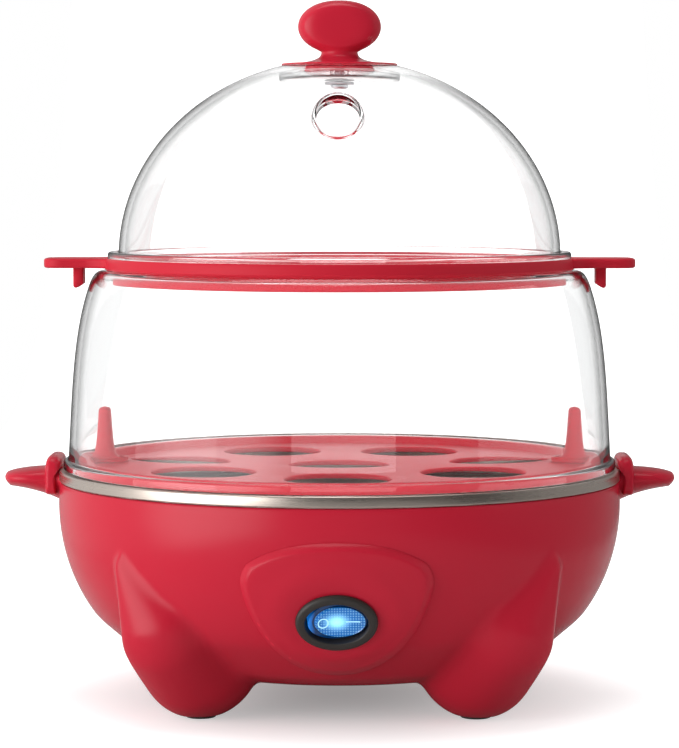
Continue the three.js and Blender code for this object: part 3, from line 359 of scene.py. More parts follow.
def lathe(profile, around=None, closed=True):
    """A profile of (radius, height) turned about Z: x = r cos a, y = r sin a, z = height."""
    around = azimuths(256) if around is None else around
    r, z = profile[:, :1], profile[:, 1:]
    points = np.stack([r * np.cos(around), r * np.sin(around), z + 0 * around], -1)
    return grid(points, close_rows=closed)


def loft(middle, half_x, half_y, power=2.0, count=64):
    """Superellipse sections stacked up Z, each at the height of its middle.

    x = cx + a |cos t|^(2/n) sign(cos t), y = cy + b |sin t|^(2/n) sign(sin t).
    """
    t = azimuths(count)
    c, s = np.cos(t), np.sin(t)
    across = np.sign(c) * np.abs(c) ** (2 / power)
    along = np.sign(s) * np.abs(s) ** (2 / power)
    x = middle[:, :1] + np.atleast_1d(half_x)[:, None] * across
    y = middle[:, 1:2] + np.atleast_1d(half_y)[:, None] * along
    return grid(np.stack([x, y, middle[:, 2:3] + 0 * x], -1))


def swept(section, centre, stations, shrink):
    """A closed section in X-Z carried along Y, scaled about a centre by each station's shrink."""
    middle = np.asarray(centre, float)
    flat = middle + (section - middle)[None] * shrink[:, None, None]
    points = np.stack([flat[..., 0], stations[:, None] + 0 * flat[..., 0], flat[..., 1]], -1)
    return grid(points)


def slab(plan, low, high, radius, steps=5):
    """A flat plate with round edges, drawn in by r (1 - sin a) at a rise of r (1 - cos a)."""
    along = unit(np.roll(plan, -1, 0) - np.roll(plan, 1, 0))
    outward = np.column_stack([along[:, 1], -along[:, 0]])
    angle = np.linspace(0, np.pi / 2, steps)
    inset = radius * (1 - np.sin(angle))
    lift = radius * (1 - np.cos(angle))
    middle = plan.mean(0)
    rings = [(None, low)]
    rings += [(i, low + z) for i, z in zip(inset, lift)]
    rings += [(i, high - z) for i, z in zip(inset[::-1], lift[::-1])]
    rings += [(None, high)]
    rows = []
    for i, z in rings:
        flat = middle + 0 * plan if i is None else plan - outward * i
        rows.append(np.column_stack([flat, np.full(len(plan), z)]))
    return grid(np.stack(rows))


def placed(surface, x=0.0, y=0.0, z=0.0):
    """A surface moved by a distance."""
    return surface[0] + np.array([x, y, z]), surface[1]


def turned_about_z(surface, degrees):
    """A surface turned about the upright axis."""
    c, s = math.cos(math.radians(degrees)), math.sin(math.radians(degrees))
    return surface[0] @ np.array([[c, s, 0], [-s, c, 0], [0, 0, 1]]), surface[1]


def add_piece(name, surfaces, body, material, stands_for=(), crease=38):
    """Joins surfaces into one object at the origin, its doubles merged, its faces outwards."""
    points, faces, start = [], [], 0
    for p, f in surfaces:
        points.append(p)
        faces.append(f + start)
        start += len(p)
    points = np.vstack(points) * MM
    faces = np.vstack(faces).astype(np.int32)
    mesh = bpy.data.meshes.new(name)
    mesh.vertices.add(len(points))
    mesh.vertices.foreach_set("co", points.astype(np.float32).ravel())
    mesh.loops.add(faces.size)
    mesh.loops.foreach_set("vertex_index", faces.ravel())
    mesh.polygons.add(len(faces))
    mesh.polygons.foreach_set("loop_start", np.arange(0, faces.size, 4, dtype=np.int32))
    mesh.update(calc_edges=True)
    work = bmesh.new()
    work.from_mesh(mesh)
    bmesh.ops.remove_doubles(work, verts=work.verts, dist=WELD)
    loose = [v for v in work.verts if not v.link_faces]
    bmesh.ops.delete(work, geom=loose, context="VERTS")
    bmesh.ops.recalc_face_normals(work, faces=work.faces)
    work.to_mesh(mesh)
    work.free()
    mesh.shade_smooth()
    mesh.set_sharp_from_angle(angle=math.radians(crease))
    mesh.materials.append(bpy.data.materials["egg_" + material])
    piece = bpy.data.objects.new(name, mesh)
    bpy.context.scene.collection.objects.link(piece)
    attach(piece, body)
    if stands_for:
        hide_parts(*stands_for)
    return piece


# ---------------------------------------------------------------- finishes
class Recipe:
    """Adds nodes to one material, or to the world, and joins their sockets."""

    def __init__(self, name, world=None):
        self.material = bpy.data.materials.new("egg_" + name) if world is None else world
        self.material.use_nodes = True
        self.tree = self.material.node_tree
        self.tree.nodes.clear()

    def add(self, kind, sockets=None, **settings):
        """Adds a node; sockets maps an input's name or number to a value or another output."""
        node = self.tree.nodes.new("ShaderNode" + kind)
        for key, value in settings.items():
            setattr(node, key, value)
        for key, value in (sockets or {}).items():
            if isinstance(value, bpy.types.NodeSocket):
                self.tree.links.new(value, node.inputs[key])
            else:
                node.inputs[key].default_value = value
        return node

    def output(self, shader):
        """Ends the material with a shader's output."""
        self.add("OutputMaterial", {"Surface": shader})
        return self.material

    def place(self, centre=(0, 0, 0), scale=(1, 1, 1)):
        """Object coordinates moved so that a centre is the origin, then scaled."""
        coordinates = self.add("TexCoord").outputs["Object"]
        shift = tuple(-c * s for c, s in zip(centre, scale))
        sockets = {"Vector": coordinates, "Location": shift, "Scale": scale}
        return self.add("Mapping", sockets).outputs[0]

    def noise(self, vector, scale, detail=3.0):
        """Noise of a given scale per metre."""
        sockets = {"Vector": vector, "Scale": scale, "Detail": detail}
        return self.add("TexNoise", sockets).outputs["Fac"]

    def math(self, operation, *values):
        """One step of arithmetic on numbers or outputs."""
        return self.add("Math", dict(enumerate(values)), operation=operation).outputs[0]

    def soft_step(self, value, start, end, low=0.0, high=1.0):
        """Maps a value between start and end to low and high along a smooth curve."""
        sockets = {"Value": value, "From Min": start, "From Max": end,
                   "To Min": low, "To Max": high}
        return self.add("MapRange", sockets, interpolation_type="SMOOTHSTEP").outputs[0]

    def spread(self, value, low, high, start=0.3, end=0.7):
        """Maps a value between start and end to low and high."""
        return self.add("MapRange", {"Value": value, "From Min": start, "From Max": end,
                                     "To Min": low, "To Max": high}).outputs[0]

    def mix(self, share, first, second):
        """Mixes two colours."""
        return self.add("Mix", {0: share, 6: first, 7: second}, data_type="RGBA").outputs[2]

    def bump(self, height, strength, distance):
        """Bump from a height, in metres."""
        sockets = {"Height": height, "Strength": strength, "Distance": distance}
        return self.add("Bump", sockets).outputs[0]

    def seen(self):
        """One for rays from the camera and rays through glass, else nothing."""
        path = self.add("LightPath").outputs
        return self.math("MAXIMUM", path["Is Camera Ray"], path["Is Transmission Ray"])


def tone(rgb, factor):
    """A colour made lighter or darker, with full alpha."""
    return (*(min(1.0, c * factor) for c in rgb), 1.0)


def moulded(name, rgb, roughness, peel=0.00003, peel_scale=900, edge_wear_and_highlight=1.3, speck=0.02, **constants):
    """Moulded or cast finish: faint mottling, a fine skin, and convex edges painted lighter, partly
    as wear and partly as a painted highlight.
    """
    r = Recipe(name)
    place = r.place()
    cloud = r.noise(place, 14, 1)
    fine = r.noise(place, peel_scale, 2)
    smudge = r.noise(place, 30, 1)
    dark, light = tone(rgb, 1 - speck * 2), tone(rgb, 1 + speck * 2)
    base = r.mix(r.spread(cloud, 0, 1, 0, 1), dark, light)
    # Painted highlight and wear: convex edges, found by pointiness, are mixed towards a lighter
    # tone of the colour.
    edge = r.spread(r.add("NewGeometry").outputs["Pointiness"], 0, 0.5, 0.52, 0.60)
    base = r.mix(edge, base, tone(rgb, edge_wear_and_highlight))
    sockets = {
        "Base Color": base,
        "Roughness": r.spread(smudge, roughness * 0.9, roughness * 1.1, 0, 1),
        "Normal": r.bump(fine, 0.35, peel),
        **constants,
    }
    return r.output(r.add("BsdfPrincipled", sockets).outputs[0])


def clear_plastic(name):
    """Clear moulded plastic with faint smudges; lamps shine through it, a little dimmed.

    Its upright walls are painted grey where they are seen edge on, a painted shade that stands for
    dark surroundings seen through the wall: the share of grey grows from none at edge_start to
    edge_share, and fades from steep_end to steep_start where a wall leans flat.
    """
    edge_start, edge_share = 0.72, 0.85
    steep_end, steep_start = 0.8, 0.95
    r = Recipe(name)
    smudge = r.noise(r.place(), 45, 5)
    flow = r.noise(r.place(scale=(1, 1, 0.4)), 25, 2)
    glass = r.add("BsdfPrincipled", {
        "Base Color": (0.995, 1, 1, 1),
        "Roughness": r.spread(smudge, 0.0, 0.03, 0.35, 0.75),
        "IOR": 1.45,
        "Transmission Weight": 1.0,
        "Normal": r.bump(flow, 0.1, 0.0001),
    })
    # Painted shade: where a wall is seen edge on, a dark see-through grey is mixed in.
    turned = r.add("LayerWeight", {"Blend": 0.5}).outputs["Facing"]
    edge_on = r.soft_step(turned, edge_start, 1.0, 0.0, edge_share)
    facing = r.add("SeparateXYZ", {0: r.add("NewGeometry").outputs["Normal"]}).outputs[2]
    upright = r.spread(r.math("ABSOLUTE", facing), 1, 0, steep_end, steep_start)
    grey = r.add("BsdfTransparent", {"Color": (0.16, 0.16, 0.16, 1)})
    share = r.math("MULTIPLY", edge_on, upright)
    wall = r.add("MixShader", {0: share, 1: glass.outputs[0], 2: grey.outputs[0]})
    through = r.add("BsdfTransparent", {"Color": (0.96, 0.965, 0.965, 1)})
    shadow = r.add("LightPath").outputs["Is Shadow Ray"]
    end = r.add("MixShader", {0: shadow, 1: wall.outputs[0], 2: through.outputs[0]})
    return r.output(end.outputs[0])


def brushed_steel(name, rgb):
    """Steel spun on a lathe: fine rings that follow radius and height, with dull patches."""
    r = Recipe(name)
    place = r.place()
    parts = r.add("SeparateXYZ", {0: place})
    flat = r.add("CombineXYZ", {0: parts.outputs[0], 1: parts.outputs[1]})
    radius = r.add("VectorMath", {0: flat.outputs[0]}, operation="LENGTH").outputs["Value"]
    rings = r.add("CombineXYZ", {0: radius, 1: parts.outputs[2]}).outputs[0]
    grain = r.noise(rings, 5200, 3)
    broad = r.noise(rings, 900, 2)
    patch = r.noise(place, 40, 4)
    return r.output(r.add("BsdfPrincipled", {
        "Base Color": r.mix(r.spread(grain, 0, 1), tone(rgb, 0.9), tone(rgb, 1.06)),
        "Metallic": 1.0,
        "Roughness": r.math("ADD", r.spread(patch, 0.0, 0.08), r.spread(broad, 0.2, 0.3)),
        "Normal": r.bump(grain, 0.5, 0.00003),
    }).outputs[0])


def lit_lens(name, rgb, glow, centre, face):
    """Blue lens lit from behind: bright at its middle, finely dotted, a painted shadow line round
    its face.

    face is the face's outline: half width, half height and shift to the side, in metres. The bright
    core is an oval whose edge lies where the place, times core_scale, has length core_edge. Beside
    the face the rocker is painted lighter towards its raised end, from end_start to end_full, a
    painted highlight, and painted darker elsewhere, a painted shade.
    """
    core_scale, core_edge = (118, 170, 1), 0.62
    dot_wave = 7600.0
    end_start, end_full = -0.0066, -0.0098
    r = Recipe(name)
    along = r.place(centre)
    parts = r.add("SeparateXYZ", {0: along})
    flat = r.add("CombineXYZ", {0: parts.outputs[0], 1: parts.outputs[2]}).outputs[0]
    stretched = r.add("Mapping", {"Vector": flat, "Scale": core_scale}).outputs[0]
    away = r.add("VectorMath", {0: stretched}, operation="LENGTH").outputs["Value"]
    core = r.soft_step(away, core_edge, 0.0)
    halo = r.spread(away, 1.0, 0.0, 0.1, 1.1)
    waves = [r.math("SINE", r.math("MULTIPLY", parts.outputs[i], dot_wave)) for i in (0, 2)]
    dots = r.math("MULTIPLY", *(r.spread(wave, 0, 1, -1, 1) for wave in waves))
    wide, high, shift = face
    oval = r.add("Mapping", {"Vector": flat, "Location": (-shift / wide, 0, 0),
                             "Scale": (1 / wide, 1 / high, 1)})
    out = r.add("VectorMath", {0: oval.outputs[0]}, operation="LENGTH").outputs["Value"]
    deep = r.mix(halo, tone(rgb, 0.55), tone(rgb, 1.0))
    dotted = r.mix(r.spread(dots, 0, 0.55, 0, 1), deep, tone(glow, 0.8))
    light = r.mix(core, dotted, tone(glow, 1.05))
    # Painted highlight and shade: beside the face, lighter towards the raised end and darker
    # elsewhere.
    end = r.spread(parts.outputs[0], 1, 0, end_full, end_start)
    side = r.mix(end, tone(rgb, 0.18), tone(rgb, 1.7))
    # Painted shadow: a dark line just outside the face's outline, where the groove is.
    light = r.mix(r.spread(out, 0, 1, 1.0, 1.02), light, tone(rgb, 0.1))
    light = r.mix(r.spread(out, 0, 1, 1.07, 1.1), light, side)
    return r.output(r.add("BsdfPrincipled", {
        "Base Color": light,
        "Roughness": r.spread(r.noise(along, 300, 1), 0.14, 0.2),
        "Emission Color": light,
        "Emission Strength": r.spread(core, 0.55, 0.95, 0, 1),
        "Coat Weight": 0.4,
        "Normal": r.bump(dots, 0.35, 0.00008),
    }).outputs[0])


# ---------------------------------------------------------------- frame of the slanted switch
def switch_frame():
    """Pivot of the rocker in millimetres, the way up along the panel and the way out of it."""
    joint = next(j for j in frame["joints"] if j["name"] == "rocker_tip")
    up = unit(np.array(joint["axis"], float))
    outward = np.cross(up, RIGHT)
    outward *= -np.sign(outward[1])
    return np.array(joint["pos_m"]) / MM, up, outward


def on_switch(points, s):
    """Local (across, up, out) from the bezel's seat to the object's own axes."""
    pivot, up, outward = switch_frame()
    seat = pivot + outward * s.pivot_depth
    return seat + points[:, :1] * RIGHT + points[:, 1:2] * up + points[:, 2:] * outward


# ---------------------------------------------------------------- base shell
def bowl_radius_at(s, z):
    """Floor radius plus a quarter ellipse: span x sqrt(1 - ((widest - z) / depth)^2)."""
    depth = s.widest - s.underside
    fall = np.clip((s.widest - z) / depth, 0, 1)
    return s.floor_radius + (s.bowl_radius - s.floor_radius) * np.sqrt(1 - fall ** 2)


def bowl_field(s, r, z):
    """Distance out of the bowl: quarter ellipse about the floor's edge, cut by a cone.

    The cone rises from the bowl at the crease's height; the two meet over a small round.
    """
    slope, crease_round = 1.16, 0.5
    a, b = s.bowl_radius - s.floor_radius, s.widest - s.underside
    u, v = np.maximum(r - s.floor_radius, 0), np.maximum(s.widest - z, 0)
    k1, k2 = np.hypot(u / a, v / b), np.hypot(u / a ** 2, v / b ** 2)
    shell = k1 * (k1 - 1) / np.maximum(k2, 1e-9)
    shell = shell + s.taper * np.clip((z - s.widest) / (s.top - s.widest), 0, 1)
    crease = bowl_radius_at(s, s.crease_height)
    cone = (r - crease - slope * (z - s.crease_height)) / math.hypot(1, slope)
    return smooth_max(shell, cone, crease_round)


def round_cone(p, a, b, r1, r2):
    """Distance to the hull of two balls (a, r1) and (b, r2)."""
    ba = b - a
    l2 = ba @ ba
    rr = r1 - r2
    a2 = l2 - rr * rr
    pa = p - a
    y = pa @ ba
    z = y - l2
    x2 = ((pa * l2 - ba * y[..., None]) ** 2).sum(-1)
    y2, z2 = y * y * l2, z * z * l2
    k = np.sign(rr) * rr * rr * x2
    side = (np.sqrt(x2 * a2 / l2) + y * rr) / l2 - r1
    out = np.where(np.sign(y) * a2 * y2 < k, np.sqrt(x2 + y2) / l2 - r1, side)
    return np.where(np.sign(z) * a2 * z2 > k, np.sqrt(x2 + z2) / l2 - r2, out)


def leg_field(s, x, y, z):
    """Distance out of a leg: the hull of three balls, trimmed to their outline seen end on.

    The balls are pushed out and up by leg_push and grown by as much, so that the trim, made of
    tangent lines at the trim angles, leaves a crisp ridge on the leg's outer side.
    """
    trim_angles, trim_round = np.radians(np.linspace(-72, 76, 50)), 1.1
    diagonal = math.sqrt(0.5)
    spreads = np.array([s.foot_spread, s.knee_spread, s.hip_spread]) * diagonal
    levels = np.array([s.foot_height, s.knee_height, s.hip_height])
    radii = np.array([s.foot_ball, s.knee_ball, s.hip_ball])
    depths = np.array([spreads[0], s.knee_back, s.hip_back])
    centres = np.column_stack([spreads + s.leg_push, depths, levels + s.leg_push])
    grown = radii + s.leg_push
    p = np.stack([x, y, z], -1)
    lower = round_cone(p, centres[0], centres[1], grown[0], grown[1])
    upper = round_cone(p, centres[1], centres[2], grown[1], grown[2])
    cones = np.minimum(lower, upper)
    trim = np.full(x.shape, -1e9)
    for t in trim_angles:
        reach = (spreads * math.cos(t) + levels * math.sin(t) + radii).max()
        trim = np.maximum(trim, x * math.cos(t) + z * math.sin(t) - reach)
    return smooth_max(cones, trim, trim_round)


def shell_field(s, panel, x, y, z):
    """Distance out of the whole shell: bowl and legs run together, cut flat under the feet.

    The round between bowl and legs is wider towards the front and back, and dies away at the
    opening. The switch and the cord's bush have their pockets cut out.
    """
    side_round, more_in_front, turn_width, fade_width = 1.4, 1.4, 24, 9
    foot_round = 0.9
    pocket_width, pocket_height, pocket_scale, pocket_depth = 12.2, 8.9, 9, 17
    bush_bore = 6.2
    r = np.hypot(x, y)
    ax, ay = np.abs(x), np.abs(y)
    front = np.clip((ay - ax) / turn_width + 0.5, 0, 1)
    fade = np.clip((r - s.opening) / fade_width, 0.05, 1)
    width = (side_round + more_in_front * front) * fade
    body = smooth_min(bowl_field(s, r, z), leg_field(s, ax, ay, z), width)
    body = smooth_max(body, s.pad_proud - z, foot_round)
    pivot, up, outward = switch_frame()
    seat = pivot + outward * panel.pivot_depth
    b = (y - seat[1]) * up[1] + (z - seat[2]) * up[2]
    c = (y - seat[1]) * outward[1] + (z - seat[2]) * outward[2]
    pocket = (np.hypot(x / pocket_width, b / pocket_height) - 1) * pocket_scale
    body = np.maximum(body, -np.maximum(pocket, -c - pocket_depth))
    level, face, _ = cord_place()
    bore = np.hypot(x, z - level) - bush_bore
    return np.maximum(body, -np.maximum(bore, face - pocket_depth - y))


def shell_rays(s, panel, level, around, start, end, rows):
    """Where rays from a ring inside the wall meet a level of the shell's field, by halving."""
    ring, height, reach, halvings = 52.0, 40.0, 85, 21
    tilt = np.linspace(math.atan2(start[1] - height, start[0] - ring),
                       math.atan2(end[1] - height, end[0] - ring), rows)[:, None]
    c, sn = np.cos(around)[None], np.sin(around)[None]
    near = np.zeros((rows, len(around)))
    far = near + reach
    for _ in range(halvings):
        middle = (near + far) / 2
        r, z = ring + middle * np.cos(tilt), height + middle * np.sin(tilt)
        inside = shell_field(s, panel, r * c, r * sn, z) + level < 0
        near, far = np.where(inside, middle, near), np.where(inside, far, middle)
    r, z = ring + near * np.cos(tilt), height + near * np.sin(tilt)
    return np.stack([r * c, r * sn, z], -1)


def rings(corners, around):
    """Level rings through (radius, height) corners."""
    corners = np.asarray(corners, float)
    r, z = corners[:, :1], corners[:, 1:]
    return np.stack([r * np.cos(around), r * np.sin(around), z + 0 * around], -1)


def shell_surface(s, panel):
    """The shell as one closed grid: outside, rim, shelf, inside and ledge round the opening.

    The azimuths lie closest where the legs run into the bowl.
    """
    edge, gap = 0.7, 0.2
    shelf_width, shelf_drop = 3.0, 1.8
    ledge_width, ledge_high, ledge_low = 4.3, 4.1, 2.0
    quarter = np.concatenate([
        np.linspace(0, 14, 15, endpoint=False),
        np.linspace(14, 52, 100, endpoint=False),
        np.linspace(52, 90, 38, endpoint=False),
    ])
    degrees = [quarter, [90], 180 - quarter[1:], 180 + quarter, [270], 360 - quarter[1:]]
    around = np.radians(np.unique(np.concatenate(degrees) % 360))
    collar, inner = s.bowl_radius - s.taper, s.bowl_radius - s.wall
    outside = shell_rays(s, panel, 0, around, (s.opening, s.underside), (collar, s.top - edge), 104)
    rim = [(collar - edge * (1 - math.cos(a)), s.top - edge * (1 - math.sin(a)))
           for a in np.linspace(0, np.pi / 2, 5)[1:]]
    shelf = inner - shelf_width
    rim += [(shelf, s.top), (shelf, s.top - shelf_drop), (inner - gap, s.top - shelf_drop)]
    inside = shell_rays(s, panel, s.wall, around, (s.opening + 1.5, s.underside + s.wall),
                        (inner - gap, s.top - 3), 34)[::-1]
    top, foot = s.underside + ledge_high, s.underside + ledge_low
    ledge = [(s.opening + 1.2, top), (s.opening - ledge_width, top),
             (s.opening - ledge_width, foot), (s.opening, foot)]
    rows = [outside, rings(rim, around), inside, rings(ledge, around)]
    return grid(np.concatenate(rows), close_rows=True)


def about_cord(profile, count):
    """A profile of (radius, distance back) turned about the cord's axis."""
    level = cord_place()[0]
    points, faces = lathe(profile, azimuths(count))
    return np.column_stack([points[:, 0], points[:, 2], level - points[:, 1]]), faces


def inlet_boss():
    """Round boss for the cord, with a soft foot where it leaves the bowl."""
    bore, boss, foot, set_back, depth = 5.95, 10, 12.5, 2.7, 9
    face = cord_place()[1] - set_back
    return about_cord(outline(
        (bore, face - depth), (bore, face, 0.4), (boss, face, 1.0), (boss, face - 4.2, 3.0),
        (foot, face - depth), steps=5), 96)


class EGGCOOKER_OT_shell(bpy.types.Operator):
    """Base shell with its legs, inlet boss and foot pads"""
    bl_idname = "eggcooker.shell"
    bl_label = "Base shell"

    def execute(self, context):
        s, panel = in_mm(context.scene.egg_shell), in_mm(context.scene.egg_panel)
        add_piece("egg_base_shell", [shell_surface(s, panel), inlet_boss()], "base",
                  "gloss_red", ["base_shell"], crease=50)
        profile = outline((0, 0.0), (s.pad_radius, 0.0, 0.5), (s.pad_radius, s.pad_height, 0.2),
                          (0, s.pad_height))
        pad = lathe(profile, azimuths(48), closed=False)
        for name in ("front_left", "front_right", "rear_left", "rear_right"):
            node = f"foot_pad_{name}"
            add_piece(f"egg_{node}", [placed(pad, *plan_middle(node))], "base",
                      "pad_rubber", [node])
        return {"FINISHED"}


# ---------------------------------------------------------------- pierced discs
def pierced_sector(count, ring, hole, inner, outer, low, high, lip):
    """One sector of a disc with a round opening in it.

    Its edge runs along the outer arc, a side line, the inner arc and the other side line. Each
    point of the edge is joined to the point of the opening that lies towards it, over a flat collar
    and the rings of the opening's rounded lip.
    """
    collar, arc_points, line_points = 3.2, 41, 28
    half = math.pi / count
    arc = np.linspace(-half, half, arc_points)
    line = np.linspace(outer, inner, line_points + 2)[1:-1]
    polar = np.concatenate([
        np.column_stack([np.full(arc_points, outer), arc]),
        np.column_stack([line, np.full(line_points, half)]),
        np.column_stack([np.full(arc_points, inner), arc[::-1]]),
        np.column_stack([line[::-1], np.full(line_points, -half)]),
    ])
    edge = np.column_stack([polar[:, 0] * np.cos(polar[:, 1]), polar[:, 0] * np.sin(polar[:, 1])])
    centre = np.array([ring, 0.0])
    towards = unit(edge - centre)
    turn = np.linspace(0, np.pi / 2, 5)
    rows = [(None, high), (collar, high)]
    rows += [(lip * (1 - math.sin(a)), high - lip * (1 - math.cos(a))) for a in turn]
    rows += [(lip * (1 - math.sin(a)), low + lip * (1 - math.cos(a))) for a in turn[::-1]]
    rows += [(collar, low), (None, low)]
    points = []
    for gap, z in rows:
        flat = edge if gap is None else centre + towards * (hole + gap)
        points.append(np.column_stack([flat, np.full(len(edge), z)]))
    return grid(np.stack(points))


def pierced_disc(count, ring, hole, inner, outer, low, high, lip=0.6):
    """All sectors of a pierced disc, the first opening at the front, and the angles of its arcs."""
    sector = pierced_sector(count, ring, hole, inner, outer, low, high, lip)
    pieces = [turned_about_z(sector, -90 + 360 * i / count) for i in range(count)]
    around = azimuths(count * 40, math.radians(-90) - math.pi / count)
    return pieces, around


def post(s, x):
    """Upright post with a square head, waisted down to a flared foot in a shallow round dish.

    Its half widths shrink evenly with height, the flare dies away as exp(-height / flare_fade), and
    the head closes over head_round along a superellipse.
    """
    foot_x, foot_y, draw_x, draw_y = 3.3, 4.6, 1.35, 0.9
    flare_reach, flare_fade, head_round, head_power = 4.6, 2.1, 1.5, 2.4
    dish_foot, dish_rim, dish_inner = 7.4, 7.9, 6.3
    foot = s.lower_rim_foot + 0.5
    t = np.linspace(0, 1, 40)
    z = foot + (s.post_top - foot) * t
    flare = flare_reach * np.exp(-(z - foot) / flare_fade)
    head = np.clip((z - s.post_top + head_round) / head_round, 0, 1)
    close = np.sqrt(np.clip(1 - head ** head_power, 0, 1))
    half_x, half_y = foot_x - draw_x * t, foot_y - draw_y * t
    middle = np.column_stack([np.full_like(z, x), 0 * z, z])
    stem = loft(middle, (half_x + flare) * close, (half_y + flare) * close, power=2.6, count=48)
    low, floor, top = foot - 0.8, foot + 0.6, foot + 2.4
    dish = outline((0, low), (dish_foot, low), (dish_rim, top, 0.5), (dish_inner + 0.3, top, 0.5),
                   (dish_inner, floor), (0, floor))
    return [stem, placed(lathe(dish, azimuths(64), closed=False), x)]


class EGGCOOKER_OT_lower_tray(bpy.types.Operator):
    """Lower egg tray: a pierced floor, a stepped rim and two posts"""
    bl_idname = "eggcooker.lower_tray"
    bl_label = "Lower egg tray"

    def execute(self, context):
        s = in_mm(context.scene.egg_trays)
        inner, outer = 28.0, 77.0
        low, high = s.lower_foot, s.lower_foot + s.floor
        foot, top, step = s.lower_rim_foot, s.lower_rim_foot + s.lower_rim_height, s.lower_inner
        pieces, around = pierced_disc(7, s.lower_ring, s.hole, inner, outer, low, high)
        rim = outline(
            (outer, low), (step - 1.5, low, 0.7), (step, foot, 0.2), (s.lower_rim, foot, 0.4),
            (s.lower_rim, top, 0.7), (step - 1.0, top, 0.9), (step - 2.6, high, 0.8), (outer, high),
            steps=5)
        middle = outline((inner, high), (s.hole, high, 0.6), (s.hole, low, 0.6), (inner, low),
                         steps=5)
        pieces += [lathe(rim, around, closed=False), lathe(middle, around, closed=False)]
        for side in (-1, 1):
            pieces += post(s, side * s.post_offset)
        add_piece("egg_lower_tray", pieces, "lower_tray", "tray_red",
                  ["lower_egg_tray"])
        return {"FINISHED"}


def grab_tab(s):
    """Grab tab and the hook under it.

    Seen from above the tab flares into the ring's lip and has round outer corners. The hook is a
    section in X-Z carried across, drawn in by a square law over its last end_round.
    """
    flare, plate_round, sunk = 3.4, 0.8, 0.15
    hook_half, hook_half_width, end_round, end_shrink = 1.7, 4.5, 0.8, 0.28
    half, root, reach = s.grab_width / 2, s.upper_rim, s.grab_reach
    y = np.linspace(-half - flare, 0, 8)[:-1]
    right = np.vstack([
        np.column_stack([np.sqrt(s.lip_seat ** 2 - y ** 2), y])[::-1],
        bezier((root + 0.1, -half - 2.6), (root + 2.5, -half - 0.6), (root + 6, -half), steps=10),
        bezier((reach - 7, -half), (reach + 0.2, -half), (reach, -half + 8), steps=12),
    ])
    plan = np.vstack([right, right[::-1] * [1, -1]])
    high = s.upper_top + s.lip - sunk
    low = high - s.grab_height
    plate = slab(plan, low, high, plate_round, steps=6)
    near, far = s.hook_offset - hook_half, s.hook_offset + hook_half
    foot = s.upper_top - s.grab_height - s.hook_length
    section = outline((near, low + 1), (near, foot + 2.2, 0.7), (far, foot, 0.9), (far, low + 1),
                      steps=5)
    turn = 1 - np.cos(np.linspace(0, np.pi / 2, 5))
    y = np.concatenate([[-hook_half_width], -hook_half_width + end_round * turn, [0]])
    y = np.concatenate([y, -y[::-1]])
    past = np.clip(np.abs(y) - (hook_half_width - end_round), 0, end_round) / end_round
    shrink = np.clip(1 - end_shrink * past ** 2, 0, 1)
    shrink[[0, -1]] = 0
    hook = swept(section, ((near + far) / 2, low - 2), y, shrink)
    return [plate, hook]


class EGGCOOKER_OT_upper_tray(bpy.types.Operator):
    """Upper egg tray: a pierced floor in a skirt, a lipped ring and two grab tabs with hooks"""
    bl_idname = "eggcooker.upper_tray"
    bl_label = "Upper egg tray"

    def execute(self, context):
        s = in_mm(context.scene.egg_trays)
        inner, outer = 14.0, 66.0
        ring_foot = s.upper_top - s.upper_ring_height
        low = ring_foot - s.skirt_depth
        high = low + s.floor
        pieces, around = pierced_disc(5, s.upper_ring, s.hole, inner, outer, low, high)
        wall, seat = s.skirt - s.skirt_wall, s.lip_seat
        top, edge = s.upper_top + s.lip, s.upper_rim
        front = bezier((seat + 0.1, top), (edge - 0.15, top), (edge, top - 2.0),
                       (edge, ring_foot + 0.5), steps=12)
        rim = outline(
            (outer, high), (wall, high, 1.0), (wall, s.upper_top, 0.8), (seat, s.upper_top, 0.2),
            (seat, top - 0.1), front, (edge - 0.4, ring_foot), (s.skirt, ring_foot, 0.4),
            (s.skirt, low, 0.8), (outer, low), steps=5)
        middle_top = np.array([(inner, high), (0, high)])
        middle_foot = np.array([(inner, low), (0, low)])
        pieces += [lathe(p, around, closed=False) for p in (rim, middle_top, middle_foot)]
        for degrees in (0, 180):
            pieces += [turned_about_z(tab, degrees) for tab in grab_tab(s)]
        add_piece("egg_upper_tray", pieces, "upper_tray", "tray_red",
                  ["upper_egg_tray"])
        return {"FINISHED"}


# ---------------------------------------------------------------- heating plate
class EGGCOOKER_OT_plate(bpy.types.Operator):
    """Heating plate: a pressed pan whose rim turns down into an upright band, with three studs"""
    bl_idname = "eggcooker.plate"
    bl_label = "Heating plate"

    def execute(self, context):
        s = in_mm(context.scene.egg_plate)
        floor, foot = s.top - s.pan_depth, s.top - s.band_height
        outer, under = s.pan_radius + s.sheet, s.top - s.sheet
        inner_band = s.band_radius - s.sheet
        profile = outline(
            (0, floor - s.sheet), (outer, floor - s.sheet, s.pan_corner + s.sheet),
            (outer, under, 0.4), (inner_band, under, 0.3), (inner_band, foot, 0.3),
            (s.band_radius, foot, 0.38), (s.band_radius, s.top, 0.6), (s.pan_radius, s.top, 0.9),
            (s.pan_radius, floor, s.pan_corner), (0, floor), steps=8)
        pieces = [lathe(profile, closed=False)]
        stud_ring, stud_radius, weld_radius, stud_length = 58, 2.0, 3.4, 12.5
        stud = outline(
            (0, floor - stud_length), (stud_radius, floor - stud_length, 0.4),
            (stud_radius, floor - 1.4, 0.3), (weld_radius, floor - 0.9, 0.2),
            (weld_radius, floor - 0.4), (0, floor - 0.4), steps=4)
        stand = placed(lathe(stud, azimuths(32), closed=False), stud_ring)
        pieces += [turned_about_z(stand, angle) for angle in (-90, 30, 150)]
        add_piece("egg_heating_plate", pieces, "base", "brushed_steel", ["heating_plate"])
        return {"FINISHED"}


